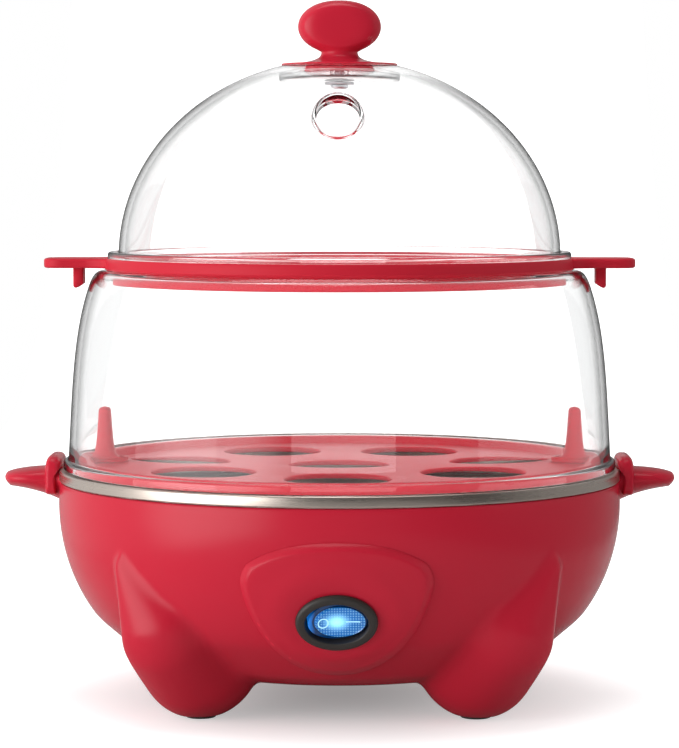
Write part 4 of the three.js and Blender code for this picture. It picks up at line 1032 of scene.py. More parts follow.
# ---------------------------------------------------------------- clear tier
class EGGCOOKER_OT_tier(bpy.types.Operator):
    """Clear steam tier: a foot flange, a wall that leans in more and more, a rounded shoulder"""
    bl_idname = "eggcooker.tier"
    bl_label = "Steam tier"

    def execute(self, context):
        s = in_mm(context.scene.egg_tier)
        lean_even, lean_late, shoulder = 2.9, 3.5, 6.8
        flange_top = s.foot + s.flange_height
        t = np.linspace(0, 1, 40)
        start, bend = flange_top + 2.2, s.top - shoulder
        radius = s.foot_radius - lean_even * t - lean_late * t ** 4
        wall = np.column_stack([radius, start + (bend - start) * t])
        lean = unit(wall[-1] - wall[-2])
        turn = bezier(wall[-1], wall[-1] + lean * 4.2, (s.top_radius + 2.6, s.top),
                      (s.top_radius, s.top), steps=14)
        curve = np.vstack([wall, turn[1:]])
        inner = offset(curve, s.wall)
        inner = inner[(inner[:, 1] < s.top - s.wall + 0.01) & (inner[:, 1] > s.foot + 6.5)]
        profile = outline(
            (s.inner, s.foot, 0.3), (s.flange, s.foot, 0.4), (s.flange, flange_top, 0.9),
            (s.foot_radius + 0.1, flange_top, 0.8), curve, (s.opening, s.top, 0.7),
            (s.opening, s.top - s.wall, 0.5), inner[::-1], (s.inner, s.foot + 5.0), steps=6)
        add_piece("egg_steam_tier", [lathe(profile, azimuths(288))], "tier",
                  "clear_plastic", ["steam_tier"], crease=50)
        return {"FINISHED"}


# ---------------------------------------------------------------- clear lid
VENT_SOFT = 1.3                  # width of the soft foot round the vent's collar


def vent_frame(s):
    """Middle of the vent on the dome, and the ways down its face, across it and out of it."""
    tilt = math.radians(18)
    height = s.vent_rise - s.spring
    reach = s.radius * math.sqrt(1 - (height / s.rise) ** 2)
    centre = np.array([0, -reach, s.foot + s.vent_rise])
    outward = np.array([0, -math.cos(tilt), math.sin(tilt)])
    down = np.array([0, -math.sin(tilt), -math.cos(tilt)])
    return centre, down, RIGHT, outward


def onto_dome(s, uv, wide, high):
    """Points (down, across) of the vent's plane carried along its axis onto an ellipsoid.

    With p = q + h n, h is the larger root of |p / semi-axes|^2 = 1.
    """
    centre, down, across, outward = vent_frame(s)
    base = centre + uv[..., :1] * down + uv[..., 1:] * across - np.array([0, 0, s.foot + s.spring])
    scale = np.array([wide, wide, high])
    q, n = base / scale, outward / scale
    a, b, c = n @ n, q @ n, (q * q).sum(-1) - 1
    h = (-b + np.sqrt(np.maximum(b * b - a * c, 0))) / a
    return centre + uv[..., :1] * down + uv[..., 1:] * across + h[..., None] * outward


def dome_grid(s, tilts, around, wide, high, hole, row, column, reach, core):
    """Dome as a grid of tilt and azimuth, its cells near the vent drawn into rings round it.

    p = (wide cos t cos a, wide cos t sin a, centre + high sin t). In the square block of cells that
    reaches to either side of (row, column), each square loop of points slides towards a circle of
    the hole's radius, and along the vent's axis back onto the dome. The core's cells are left out.
    """
    centre, down, across, _ = vent_frame(s)
    middle = np.array([0, 0, s.foot + s.spring])

    def dome(t, a):
        """Points of the dome at tilts and azimuths."""
        x, y = wide * np.cos(t) * np.cos(a), wide * np.cos(t) * np.sin(a)
        return middle + np.stack([x, y, high * np.sin(t) + 0 * x], -1)

    points = dome(tilts[:, None], around[None])
    steps = np.arange(-reach, reach + 1.0)
    a, b = np.meshgrid(steps, steps, indexing="ij")
    loop = np.maximum(np.abs(a), np.abs(b))
    grow = reach / np.maximum(loop, 1)
    tilt = np.interp(row + a * grow, np.arange(len(tilts)), tilts)
    edge = dome(tilt, np.interp(column + b * grow, np.arange(len(around)), around))
    edge_uv = np.stack([(edge - centre) @ down, (edge - centre) @ across], -1)
    steep = np.abs(a) >= np.abs(b)
    safe_a, safe_b = np.where(a == 0, 1, a), np.where(b == 0, 1, b)
    angle = np.where(steep, np.pi / 4 * b / safe_a + np.where(a < 0, np.pi, 0),
                     np.pi / 2 - np.pi / 4 * a / safe_b + np.where(b < 0, np.pi, 0))
    circle = hole * np.stack([np.cos(angle), np.sin(angle)], -1)
    share = np.clip((loop - core) / (reach - core), 0, 1)[..., None]
    block = onto_dome(s, circle * (1 - share) + edge_uv * share, wide, high)
    block = np.where(loop[..., None] < reach, block, edge)
    points[row - reach:row + reach + 1, column - reach:column + reach + 1] = block
    faces = quads(len(tilts), len(around))
    i, j = np.divmod(np.arange(len(faces)), len(around))
    inside = (np.abs(i + 0.5 - row) < core) & (np.abs(j + 0.5 - column) < core)
    return points.reshape(-1, 3), faces[~inside]


def vent_collar(s, circle, wide, high):
    """The vent's collar: a soft foot on the dome, a round rim and the bore to the inner wall.

    Each foot row is a circle on the dome lifted along the vent's axis; each rim row lies in a plane
    at its drop below the collar's face.
    """
    centre, down, across, outward = vent_frame(s)
    soft = s.vent_collar + VENT_SOFT
    foot = ((soft, 0.0), (soft - 0.6, 0.06), (soft - 1.0, 0.25), (s.vent_collar + 0.05, 0.6))
    rim = ((0.0, 0.55), (0.1, 0.25), (0.35, 0.0), (0.8, 0.0), (1.1, 0.2), (1.2, 0.55))
    rows = [onto_dome(s, circle * radius, s.radius, s.rise) + outward * lift
            for radius, lift in foot]
    for inset, drop in rim:
        ring = circle * (s.vent_collar - inset)
        flat = centre + ring[:, :1] * down + ring[:, 1:] * across
        rows.append(flat + outward * (s.vent_proud - drop))
    rows.append(onto_dome(s, circle * s.vent_bore, wide, high))
    return grid(np.stack(rows))


class EGGCOOKER_OT_lid(bpy.types.Operator):
    """Clear lid: a dome with a foot flange, a recess for the knob and a collared steam vent"""
    bl_idname = "eggcooker.lid"
    bl_label = "Lid"

    def execute(self, context):
        s = in_mm(context.scene.egg_lid)
        columns, rows, reach, core, above_vent = 264, 112, 17, 10, 0.42
        screw_hole = 2.2
        around = azimuths(columns, -1.5 * np.pi)
        row, column = int(round(rows * above_vent)), columns // 2
        wide, high = s.radius - s.wall, s.rise - s.wall
        cup = s.recess + s.wall
        crown_tilt = math.asin((s.crown - s.spring) / s.rise)
        inner_crown = math.acos(cup / wide)
        vent_tilt = math.asin((s.vent_rise - s.spring) / s.rise)
        below = np.linspace(vent_tilt, 0.0, rows - row)

        def wall(first, across, up, hole):
            """One wall of the dome, from its first tilt down past the vent to the spring line."""
            tilts = np.concatenate([np.linspace(first, vent_tilt, row, endpoint=False), below])
            return dome_grid(s, tilts, around, across, up, hole, row, column, reach, core)

        crown, spring = s.foot + s.crown, s.foot + s.spring
        floor, flange_top = crown - s.recess_depth, s.foot + s.flange_height
        top = outline(
            (s.radius * math.cos(crown_tilt), crown), (s.recess, crown, 0.5),
            (s.recess, floor, 0.9), (screw_hole, floor), (screw_hole, floor - s.wall),
            (cup, floor - s.wall, 1.0), (cup, spring + high * math.sin(inner_crown)), steps=6)
        skirt = outline(
            (s.radius, spring), (s.radius, flange_top, 0.9), (s.flange, flange_top, 1.0),
            (s.flange, s.foot, 0.5), (wide, s.foot, 0.4), (wide, spring), steps=6)
        angle = azimuths(8 * core)
        circle = np.column_stack([np.cos(angle), np.sin(angle)])
        surfaces = [
            wall(crown_tilt, s.radius, s.rise, s.vent_collar + VENT_SOFT),
            wall(inner_crown, wide, high, s.vent_bore),
            lathe(top, around, closed=False),
            lathe(skirt, around, closed=False),
            vent_collar(s, circle, wide, high),
        ]
        add_piece("egg_lid", surfaces, "lid", "clear_plastic", ["lid_dome"],
                  crease=50)
        return {"FINISHED"}


# ---------------------------------------------------------------- knob and its screw
def knob_surface(s):
    """Round base that flares up to a neck, then an oval grip hollowed on its front and back.

    The base's radius falls as (1 - v)^flare_power to the neck. Half width and half depth of the
    grip are the smooth maximum of the neck and of an ellipse's cos t. Each face sinks by the dish's
    depth times (1 - e) to the power 1.1, with e the sum of squares over the dish's own oval.
    """
    flare_rise, flare_power, flare_bow = 3.9, 2.4, 1.6
    dish_width, dish_height = 0.83, 0.8
    grip = s.seat + s.grip_rise
    v = np.linspace(0, 1, 22)
    flare_x = s.neck + (s.base - 0.25 - s.neck) * (1 - v) ** flare_power
    flare_z = s.seat + 0.5 + flare_rise * v ** flare_bow
    stem = np.array([
        (0, s.foot), (s.spigot - 0.4, s.foot), (s.spigot, s.foot + 0.4), (s.spigot, s.seat),
        (s.base - 0.2, s.seat), (s.base, s.seat + 0.18), (s.base - 0.06, s.seat + 0.4)])
    tilt = np.linspace(-1, 1, 60) * np.pi / 2
    level = grip + s.half_height * np.sin(tilt)
    keep = level > flare_z[-1] + 0.2
    level, across = level[keep], np.cos(tilt[keep]) ** 0.9
    below = smoothstep((grip - level) / s.half_height * 3)
    neck, width = s.neck * below, 0.1 + 2.6 * below
    root = np.concatenate([stem[:, 0], flare_x])
    half_x = np.concatenate([root, smooth_max(s.half_width * across, neck, width)])
    half_y = np.concatenate([root, smooth_max(s.half_depth * across, neck, width)])
    half_x[-1] = half_y[-1] = 0
    z = np.concatenate([stem[:, 1], flare_z, level])
    middle = np.column_stack([0 * z, 0 * z, z])
    points, faces = loft(middle, half_x, half_y, power=2.08, count=112)
    x, y, rise = points[:, 0], points[:, 1], points[:, 2] - grip
    away = (x / (s.half_width * dish_width)) ** 2 + (rise / (s.half_height * dish_height)) ** 2
    hollow = s.dish * np.clip(1 - away, 0, 1) ** 1.1
    points[:, 1] -= np.sign(y) * hollow * smoothstep(np.abs(y) / 3)
    return points, faces


def screw_surface(face, top):
    """Pan-head screw driven from below: its head stands on a face, its shank reaches a top.

    The head falls away as its radius to the fourth power, and the crossed recess sinks where the
    smaller of |x| and |y| is under its half width and the larger is under its length.
    """
    head, height, shank, reach = 3.0, 1.3, 1.5, top - face
    rim = head * np.array([0.72, 0.82, 0.9, 0.96, 1])
    r = np.concatenate([np.linspace(0, head * 0.62, 26), rim])
    angle = azimuths(96)
    x, y = r[:, None] * np.cos(angle), r[:, None] * np.sin(angle)
    crown = height * (1 - 0.55 * (r[:, None] / head) ** 4)
    narrow, wide = np.minimum(np.abs(x), np.abs(y)), np.maximum(np.abs(x), np.abs(y))
    sunk = smoothstep((head * 0.16 - narrow) / 0.16) * smoothstep((head * 0.55 - wide) / 0.25)
    cap = np.stack([x, y, crown - height * 0.75 * sunk], -1)
    under = outline((head, 0), (shank, 0, 0.1), (shank, -reach + 1, 0.2), (0.3, -reach),
                    (0, -reach), steps=3)
    points, faces = grid(np.concatenate([cap, rings(under, angle)]))
    return points * [1, -1, -1] + [0, 0, face], faces


class EGGCOOKER_OT_knob(bpy.types.Operator):
    """Lid knob with its washer and screw"""
    bl_idname = "eggcooker.knob"
    bl_label = "Lid knob"

    def execute(self, context):
        s = in_mm(context.scene.egg_knob)
        add_piece("egg_lid_knob", [knob_surface(s)], "lid", "gloss_red",
                  ["lid_knob"], crease=42)
        bore, rim = 1.8, 5.0
        low, high = heights("knob_washer")
        ring = outline((bore, low, 0.1), (rim, low, 0.25), (rim, high, 0.25), (bore, high, 0.1),
                       steps=4)
        add_piece("egg_knob_washer", [lathe(ring, azimuths(72))], "lid",
                  "zinc_plate", ["knob_washer"])
        screw = screw_surface(low - NEAR, heights("knob_screw")[1])
        add_piece("egg_knob_screw", [screw], "lid", "zinc_plate", ["knob_screw"])
        return {"FINISHED"}


# ---------------------------------------------------------------- handles
def horn(s):
    """Tongue carried outwards between two curves, with a soft ridge along each side.

    Its side view is three Bezier curves. The section at a distance out is two half superellipses,
    a full one above the ridge and a leaner one below it. Seen from above the tongue widens to its
    root as exp(-distance / flare_fade) and closes over end_length along a superellipse.
    """
    full, lean, end_power = 2.5, 1.7, 2.5
    flare, flare_fade, end_length, close_length = 1.7, 2.2, 12.0, 3
    root, tip = s.root - 1.6, s.reach - 0.8
    nose_top, nose_foot = (tip, s.ridge + 2.1), (s.reach - 2.0, s.ridge - 2.6)
    upper = bezier((root, s.top), (s.reach - 4.8, s.top - 0.4), nose_top)
    nose = bezier(nose_top, (s.reach + 1.0, s.ridge), nose_foot)
    lower = bezier(nose_foot, (s.root + 6.2, s.ridge - 3.75), (root, s.ridge - 7.9))
    side = np.vstack([upper, nose[1:], lower[1:]])
    turn = side[:, 0].argmax()
    end, level = side[turn]
    rounding = 1 - np.sin(np.linspace(0, np.pi / 2, 16)[1:])
    x = np.concatenate([np.linspace(root, end - close_length, 34), end - close_length * rounding])
    above = np.interp(x, side[:turn + 1, 0], side[:turn + 1, 1]) - level
    below = level - np.interp(x, side[turn:, 0][::-1], side[turn:, 1][::-1])
    wide = s.width / 2 + flare * np.exp(-(x - root) / flare_fade)
    past = np.clip((x - end + end_length) / end_length, 0, 1)
    wide = wide * (1 - past ** end_power) ** (1 / end_power)
    t = azimuths(72)
    c, sn = np.cos(t), np.sin(t)
    power = np.where(sn > 0, full, lean)
    y = wide[:, None] * (np.sign(c) * np.abs(c) ** (2 / power))
    half = np.where(sn > 0, above[:, None], below[:, None])
    z = level + half * np.sign(sn) * np.abs(sn) ** (2 / power)
    points = np.stack([x[:, None] + 0 * y, y, z], -1)
    cap = points[:1].mean(1, keepdims=True) + 0 * points[:1]
    return grid(np.concatenate([cap, points]))


def ear(s):
    """Upright ear: its section leans in over the band and closes along a superellipse."""
    foot, shoulder, inner = s.top - 9.3, s.top - 0.15, s.root - 1.5
    section = outline(
        (s.root, foot, 0.6), (s.root, shoulder, 0.2), (s.root - 1.45, shoulder, 0.3),
        (inner, s.ear_top, 2.2), (s.root + 3.1, s.ear_top, 2.1), (s.root + 4.1, s.top, 6.0),
        (s.root + 3.9, foot, 1.2), steps=8)
    half, power = s.ear_width / 2, 5
    y = half * np.sin(np.linspace(-1, 1, 41) * np.pi / 2)
    shrink = (1 - np.clip(np.abs(y) / half, 0, 1) ** power) ** (1 / power)
    return swept(section, (s.root + 1.4, s.top - 3.5), y, shrink)


class EGGCOOKER_OT_handles(bpy.types.Operator):
    """Left and right handles, each a horn and an upright ear"""
    bl_idname = "eggcooker.handles"
    bl_label = "Handles"

    def execute(self, context):
        s = in_mm(context.scene.egg_handles)
        for name, degrees in (("right", 0), ("left", 180)):
            pieces = [turned_about_z(piece, degrees) for piece in (horn(s), ear(s))]
            add_piece(f"egg_handle_{name}", pieces, "base", "gloss_red",
                      [f"handle_{name}"])
        return {"FINISHED"}


# ---------------------------------------------------------------- switch panel and rocker switch
HOLLOW_RADIUS = 38               # radius of the rocker's hollow face
REST_TILT = math.radians(7)      # tilt of the rocker at rest


def panel_edge(s):
    """Shield outline: a bowed top, two round shoulders, sides that run together at the foot.

    Three Bezier curves make its right half, and the left half is their mirror image.
    """
    w = s.half_width
    corner, waist = (w * 0.93, s.shoulder + 3.2), (w, s.shoulder - 3.5)
    bow = bezier((0, s.top), (w * 0.5, s.top), (w * 0.8, s.top - 4.2), corner, steps=40)
    shoulder = bezier(corner, (w * 1.01, s.shoulder), waist, steps=20)
    side = bezier(waist, (w * 0.93, s.shoulder - 16), (w * 0.6, s.bottom), (0, s.bottom), steps=60)
    right = np.vstack([bow, shoulder[1:], side[1:]])
    return np.vstack([right[::-1], (right * [-1, 1])[1:-1]])


def panel_surface(s, shell):
    """Panel as rings round the switch, from its opening out to the shield's edge and back behind.

    In front the depth runs from the switch's slanted seat to the bowl's radius plus the panel's own
    height. At the rim it falls away as the distance in to rim_power, and behind it follows the bowl
    at a clearance.
    """
    rim_power, seat_spread, seat_border = 1.6, 11.0, 1.2
    pivot, up, outward = switch_frame()
    seat = pivot + outward * s.pivot_depth
    edge = panel_edge(s) - [0, seat[2]]
    angle = np.unwrap(np.arctan2(edge[:, 1], edge[:, 0]))
    order = np.argsort(angle)
    around = azimuths(288, -np.pi / 2)
    lookup = (around - angle[order][0]) % (2 * np.pi) + angle[order][0]
    far = np.interp(lookup, angle[order], np.hypot(*edge[order].T), period=2 * np.pi)
    c, sn = np.cos(around), np.sin(around)

    def oval(wide, high):
        """Reach of an oval on the slanted seat, seen square to the front."""
        return 1 / np.hypot(c / wide, sn / (high * up[2]))

    def face(r, z):
        """Depth of the front at a reach and a height."""
        share = np.clip((s.top - z) / (s.top - s.bottom), 0, 1)
        proud = s.proud_top + (s.proud_bottom - s.proud_top) * share
        return -np.sqrt((bowl_radius_at(shell, z) + proud) ** 2 - (r * c) ** 2)

    def behind(r):
        """Depth of the back at a reach."""
        z = seat[2] + r * sn
        return -np.sqrt((bowl_radius_at(shell, z) + NEAR) ** 2 - (r * c) ** 2)

    hole = oval(s.bezel_width - 0.95, s.bezel_height - 0.8)
    flat = oval(s.bezel_width + seat_border, s.bezel_height + seat_border)
    rows = []
    inner = far - s.rim
    for t in np.linspace(0, 1, 26):
        r = hole + (inner - hole) * t
        z = seat[2] + r * sn
        slope = seat[1] + (z - seat[2]) * up[1] / up[2]
        share = smoothstep((r - flat) / np.minimum(seat_spread, inner - flat))
        rows.append((r, slope * (1 - share) + face(r, z) * share))
    for t in np.linspace(0.08, 1, 14):
        r = inner + s.rim * t
        rows.append((r, face(r, seat[2] + r * sn) + s.rim_drop * t ** rim_power))
    rows.append((far, rows[-1][1] + s.rim_drop * 0.1))
    rows += [(r, behind(r)) for r in (far, far - 2, (hole + far) / 2, hole)]
    points = np.stack([np.column_stack([r * c, y, seat[2] + r * sn]) for r, y in rows])
    return grid(points, close_rows=True)


def oval_rows(rows, s, change=None):
    """Ovals stacked out of the panel: rows of half width, half height, height and shift across."""
    rows = np.array([(*row, 0.0)[:4] for row in rows], float)
    t = azimuths(96)
    x, y = rows[:, :1] * np.cos(t) + rows[:, 3:4], rows[:, 1:2] * np.sin(t)
    points = np.stack([x, y, rows[:, 2:3] + 0 * x], -1)
    if change is not None:
        points = change(points)
    return grid(on_switch(points.reshape(-1, 3), s).reshape(points.shape))


def housing_surface(s):
    """Bezel with a full round edge, its well and the body behind it."""
    wall, depth, well_depth, edge, lip = 1.7, 15, 12, 1.5, 0.5
    w, h, top = s.bezel_width, s.bezel_height, s.bezel_thickness
    well_w, well_h = s.well_width, s.well_height
    low = NEAR + 0.4
    rows = [(0, 0, -depth), (well_w + wall, well_h + wall, -depth),
            (well_w + wall, well_h + wall, NEAR), (w - 0.3, h - 0.3, NEAR)]
    for a in np.linspace(0, np.pi / 2, 8):
        draw = edge * (1 - math.cos(a))
        rows.append((w - draw, h - draw, low + (top - NEAR - 0.4) * math.sin(a)))
    for a in np.linspace(0, np.pi / 2, 5):
        draw = lip * (1 - math.sin(a))
        rows.append((well_w + draw, well_h + draw, top - lip * (1 - math.cos(a))))
    rows += [(well_w, well_h, -well_depth), (0, 0, -well_depth)]
    return oval_rows(rows, s)


def hollow(across):
    """Height of the rocker's hollow face at a across: a^2 / (2 x radius) above its middle."""
    return across ** 2 / (2 * HOLLOW_RADIUS)


def rocker_top(points):
    """Lifts rows near the top onto the rocker's hollow face, as far as its end stands proud."""
    middle, highest, below_top = 0.5, 1.5, -2
    lifted = points[..., 2] + np.minimum(middle + hollow(points[..., 0]), highest)
    points[..., 2] = np.where(points[..., 2] > below_top, lifted, points[..., 2])
    return points


def rocked(surface):
    """The rocker turned from level to its rest about the pivot's axis."""
    pivot, up, outward = switch_frame()
    cosine, sine = math.cos(REST_TILT), math.sin(REST_TILT)
    points = surface[0] - pivot
    a, b, c = points @ RIGHT, points @ up, points @ outward
    turned = np.outer(a * cosine + c * sine, RIGHT) + np.outer(b, up)
    turned += np.outer(c * cosine - a * sine, outward)
    return turned + pivot, surface[1]


def rocker_surface(s):
    """Oval rocker: foot, side, shoulder, a groove, and the slim raised edge of its hollow face."""
    foot, groove, edge_width = -5.8, -1.0, 0.55
    bead = ((0.06, groove), (0.0, 0.05), (0.08, 0.2), (0.2, 0.25), (0.32, 0.18), (0.44, 0.05),
            (edge_width, 0.0))
    w, h = s.rocker_width, s.rocker_height
    wide, high, shift = s.face_width, s.face_height, s.face_shift
    rows = [(0, 0, foot), (w - 0.8, h - 0.8, foot), (w - 0.1, h - 0.1, -5.0), (w, h, -1.3),
            (w - 0.15, h - 0.12, groove), (wide + 0.4, high + 0.45, -0.75, shift),
            (wide + 0.25, high + 0.3, groove, shift)]
    rows += [(wide - draw, high - draw, lift, shift) for draw, lift in bead]
    rows += [((wide - edge_width) * t, (high - edge_width) * t, 0.0, shift * t)
             for t in np.linspace(1, 0, 16)[1:]]
    return rocked(oval_rows(rows, s, rocker_top))


def mark_surfaces(s):
    """A ring mark and a bar mark, each a thin bead that follows the rocker's hollow face.

    A bead's section is an oval of half width bead_width and half height bead_rise about the path.
    """
    bead_width, bead_rise, bead_level = 0.2, 0.1, 0.52
    ring_middle, ring_radius, bar_start, bar_end = -4.6, 1.55, 2.4, 7.0

    def bead(path, closed):
        """Rows of a bead along a path."""
        step = np.roll(path, -1, 0) - np.roll(path, 1, 0) if closed else np.gradient(path, axis=0)
        along = unit(step)
        side = np.column_stack([-along[:, 1], along[:, 0]])
        t = azimuths(10)
        flat = path[:, None] + side[:, None] * (bead_width * np.cos(t))[None, :, None]
        z = bead_level + hollow(flat[..., 0]) + bead_rise * np.sin(t)
        return np.stack([flat[..., 0], flat[..., 1], z], -1)

    t = azimuths(40)
    ring = bead(np.column_stack([ring_middle + ring_radius * np.cos(t), ring_radius * np.sin(t)]),
                True)
    bar = bead(np.column_stack([np.linspace(bar_start, bar_end, 20), np.zeros(20)]), False)
    bar[[0, -1]] = bar[[0, -1]].mean(1, keepdims=True)
    surfaces = []
    for points, closed in ((ring, True), (bar, False)):
        flat = on_switch(points.reshape(-1, 3), s).reshape(points.shape)
        surfaces.append(rocked(grid(flat, close_rows=closed)))
    return surfaces


class EGGCOOKER_OT_switch(bpy.types.Operator):
    """Switch panel, bezel and rocker"""
    bl_idname = "eggcooker.switch"
    bl_label = "Switch and panel"

    def execute(self, context):
        s, shell = in_mm(context.scene.egg_panel), in_mm(context.scene.egg_shell)
        add_piece("egg_switch_panel", [panel_surface(s, shell)], "base",
                  "gloss_red", ["switch_panel"], crease=55)
        add_piece("egg_switch_housing", [housing_surface(s)], "base",
                  "matt_black", ["switch_housing"], crease=55)
        add_piece("egg_switch_rocker", [rocker_surface(s)], "rocker",
                  "blue_lens", ["switch_rocker"])
        add_piece("egg_rocker_marks", mark_surfaces(s), "rocker", "lens_mark")
        return {"FINISHED"}


# ---------------------------------------------------------------- underside and back
def bush_surface():
    """Rubber bush for the cord: a round flange, a tube and a bore through both."""
    bore, tube, flange, flange_height = 3.3, 5.7, 9.0, 2.4
    _, front, back = cord_place()
    return about_cord(outline(
        (bore, back), (bore, front, 0.9), (flange, front, 1.1),
        (flange, front - flange_height, 0.3), (tube, front - flange_height), (tube, back),
        steps=6), 80)


class EGGCOOKER_OT_underside(bpy.types.Operator):
    """Bottom cover with its screws, and the cord's bush at the back"""
    bl_idname = "eggcooker.underside"
    bl_label = "Underside and back"

    def execute(self, context):
        low, high = heights("bottom_cover")
        radius, ring, hole, sink, edge, inner = 43.7, 38.5, 1.8, 3.7, 43.0, 32.0
        seat_low, seat_high, groove = low + 0.9, high - 0.3, low + 0.5
        pieces, around = pierced_disc(4, ring, sink, inner, edge, low, high, lip=0.3)
        rim = outline((edge, low), (radius, low, 0.4), (radius, high, 0.3), (edge, high), steps=4)
        middle = outline((inner, high), (0, high), steps=2)
        foot = outline((inner, low), (30.0, low), (29.4, groove), (28.6, groove), (28.0, low),
                       (12.0, low), (11.4, groove), (0, groove), steps=2)
        pieces += [lathe(p, around, closed=False) for p in (rim, middle, foot)]
        seat = outline((hole, seat_low), (sink, seat_low, 0.2), (sink, seat_high),
                       (hole, seat_high), steps=4)
        stand = placed(lathe(seat, azimuths(64)), ring)
        pieces += [turned_about_z(stand, 90 * i) for i in range(4)]
        add_piece("egg_bottom_cover", pieces, "base", "gloss_red",
                  ["bottom_cover"])
        screw_low, screw_top = heights("cover_screw_1")
        screw = screw_surface(screw_low + 1.3, screw_top)
        for i in range(4):
            node = f"cover_screw_{i + 1}"
            add_piece(f"egg_{node}", [placed(screw, *plan_middle(node))], "base",
                      "zinc_plate", [node])
        add_piece("egg_cord_bush", [bush_surface()], "base", "matt_black",
                  ["cord_inlet"])
        return {"FINISHED"}


INNER_FINISH = {
    "plate_seal": "silicone", "plate_carrier": "zinc_plate", "plate_nut": "zinc_plate",
    "carrier_screw": "zinc_plate", "heating_element": "brushed_steel", "thermostat": "ceramic",
    "thermostat_strap": "zinc_plate", "thermal_fuse": "ceramic", "buzzer": "matt_black",
    "terminal_block": "ceramic", "switch_terminal": "zinc_plate", "rocker_pin": "zinc_plate",
    "rocker_lamp": "lens_mark", "lead_supply": "lead_white", "lead_to_switch": "lead_brown",
    "lead_to_element": "lead_brown", "lead_return": "lead_blue",
}


class EGGCOOKER_OT_inside(bpy.types.Operator):
    """Finishes of the pieces inside the base, numbered ones by the name they share"""
    bl_idname = "eggcooker.inside"
    bl_label = "Inner pieces"

    def execute(self, context):
        for name, node in frame["nodes"].items():
            finish = INNER_FINISH.get(name.rstrip("_123"), "gloss_red")
            for slot in node.material_slots:
                slot.material = bpy.data.materials["egg_" + finish]
        return {"FINISHED"}


class EGGCOOKER_OT_finishes(bpy.types.Operator):
    """Materials made from the finish colours"""
    bl_idname = "eggcooker.finishes"
    bl_label = "Finishes"

    def execute(self, context):
        s, panel = context.scene.egg_finishes, in_mm(context.scene.egg_panel)
        shine = "Specular IOR Level"
        # Gloss red's convex edges are painted lighter: partly wear, partly a painted highlight
        # along rims.
        moulded("gloss_red", s.red, 0.235, edge_wear_and_highlight=1.4, **{shine: 0.19})
        moulded("tray_red", s.tray, 0.42, peel=0.00005, edge_wear_and_highlight=1.25, **{shine: 0.1})
        clear_plastic("clear_plastic")
        brushed_steel("brushed_steel", s.steel)
        moulded("zinc_plate", s.zinc, 0.36, peel=0.00002, peel_scale=1500, Metallic=1.0)
        moulded("matt_black", s.black, 0.48, peel=0.00006, peel_scale=1400)
        pivot, up, outward = switch_frame()
        lens = (pivot + outward * 3.0) * MM
        face = np.array([panel.face_width, panel.face_height * up[2], panel.face_shift]) * MM
        lit_lens("blue_lens", s.lens, s.glow, tuple(lens), tuple(face.tolist()))
        moulded("lens_mark", s.glow, 0.4, peel=0.00001,
                **{"Emission Color": (0.6, 0.9, 1, 1), "Emission Strength": 0.5})
        moulded("silicone", (0.68, 0.66, 0.62), 0.62, peel=0.00008)
        moulded("pad_rubber", (0.04, 0.037, 0.035), 0.8, peel=0.00012)
        moulded("ceramic", (0.79, 0.77, 0.72), 0.5, peel=0.00006)
        moulded("lead_white", (0.74, 0.73, 0.7), 0.45)
        moulded("lead_brown", (0.15, 0.055, 0.022), 0.45)
        moulded("lead_blue", (0.028, 0.1, 0.38), 0.45)
        return {"FINISHED"}


# ---------------------------------------------------------------- stage
# Name, place, aim, size, power in watts, and whether the lamp leaves a highlight.
LAMPS = (
    ("key", (-1.2, -0.4, 0.3), (0, 0, 0.08), (1.0, 0.65), 3.5, False),
    ("fill", (1.25, -0.15, 0.42), (0, 0, 0.08), (1.2, 0.9), 5.5, False),
    ("front", (0.05, -1.3, 0.06), (0, 0, 0.06), (1.0, 0.3), 2.5, False),
    ("top", (-0.05, 0.05, 1.25), (0, 0, 0.1), (0.8, 0.8), 5.7, True),
)
# Direction, cosine at which the light starts, and strength.
SOFT_LIGHTS = (
    ((-0.8, -0.58, 0.03), 0.81, 3.9),
    ((-0.93, 0.25, 0.2), 0.0, 0.72),
    ((0.85, 0.5, 0.15), 0.4, 0.25),
)


def backdrop_material(rgb):
    """White sweep: part of its white is lit and part is its own.

    Its own part grows along a smooth curve from own_least under the object to full white own_reach
    metres away, and is seen by the camera and through glass. The lower own white near the object is
    a painted shade round it, added to its lit shadow.
    """
    own_least, own_reach = 0.26, 0.165
    r = Recipe("backdrop")
    place = r.place()
    base = r.mix(r.spread(r.noise(place, 3, 2), 0, 1), tone(rgb, 0.99), tone(rgb, 1.01))
    diffuse = r.add("BsdfDiffuse", {"Color": base})
    away = r.add("VectorMath", {0: place}, operation="LENGTH").outputs["Value"]
    # Painted shade: less own white close to the object darkens the floor round it.
    own = r.soft_step(away, 0.0, own_reach, own_least, 1.0)
    glow = r.add("Emission", {"Color": (1, 1, 1, 1), "Strength": r.math("MULTIPLY", r.seen(), own)})
    return r.output(r.add("AddShader", {0: diffuse.outputs[0], 1: glow.outputs[0]}).outputs[0])


def add_lamp(name, place, aim, size, power, shine):
    """An area lamp that looks at a point; without shine it leaves no highlight."""
    lamp = bpy.data.lights.new(name, "AREA")
    lamp.shape, lamp.size, lamp.size_y = "RECTANGLE", *size
    lamp.energy = power
    holder = bpy.data.objects.new(name, lamp)
    holder.visible_glossy = shine
    holder.location = place
    holder.rotation_euler = (Vector(aim) - Vector(place)).to_track_quat("-Z", "Y").to_euler()
    bpy.context.scene.collection.objects.link(holder)


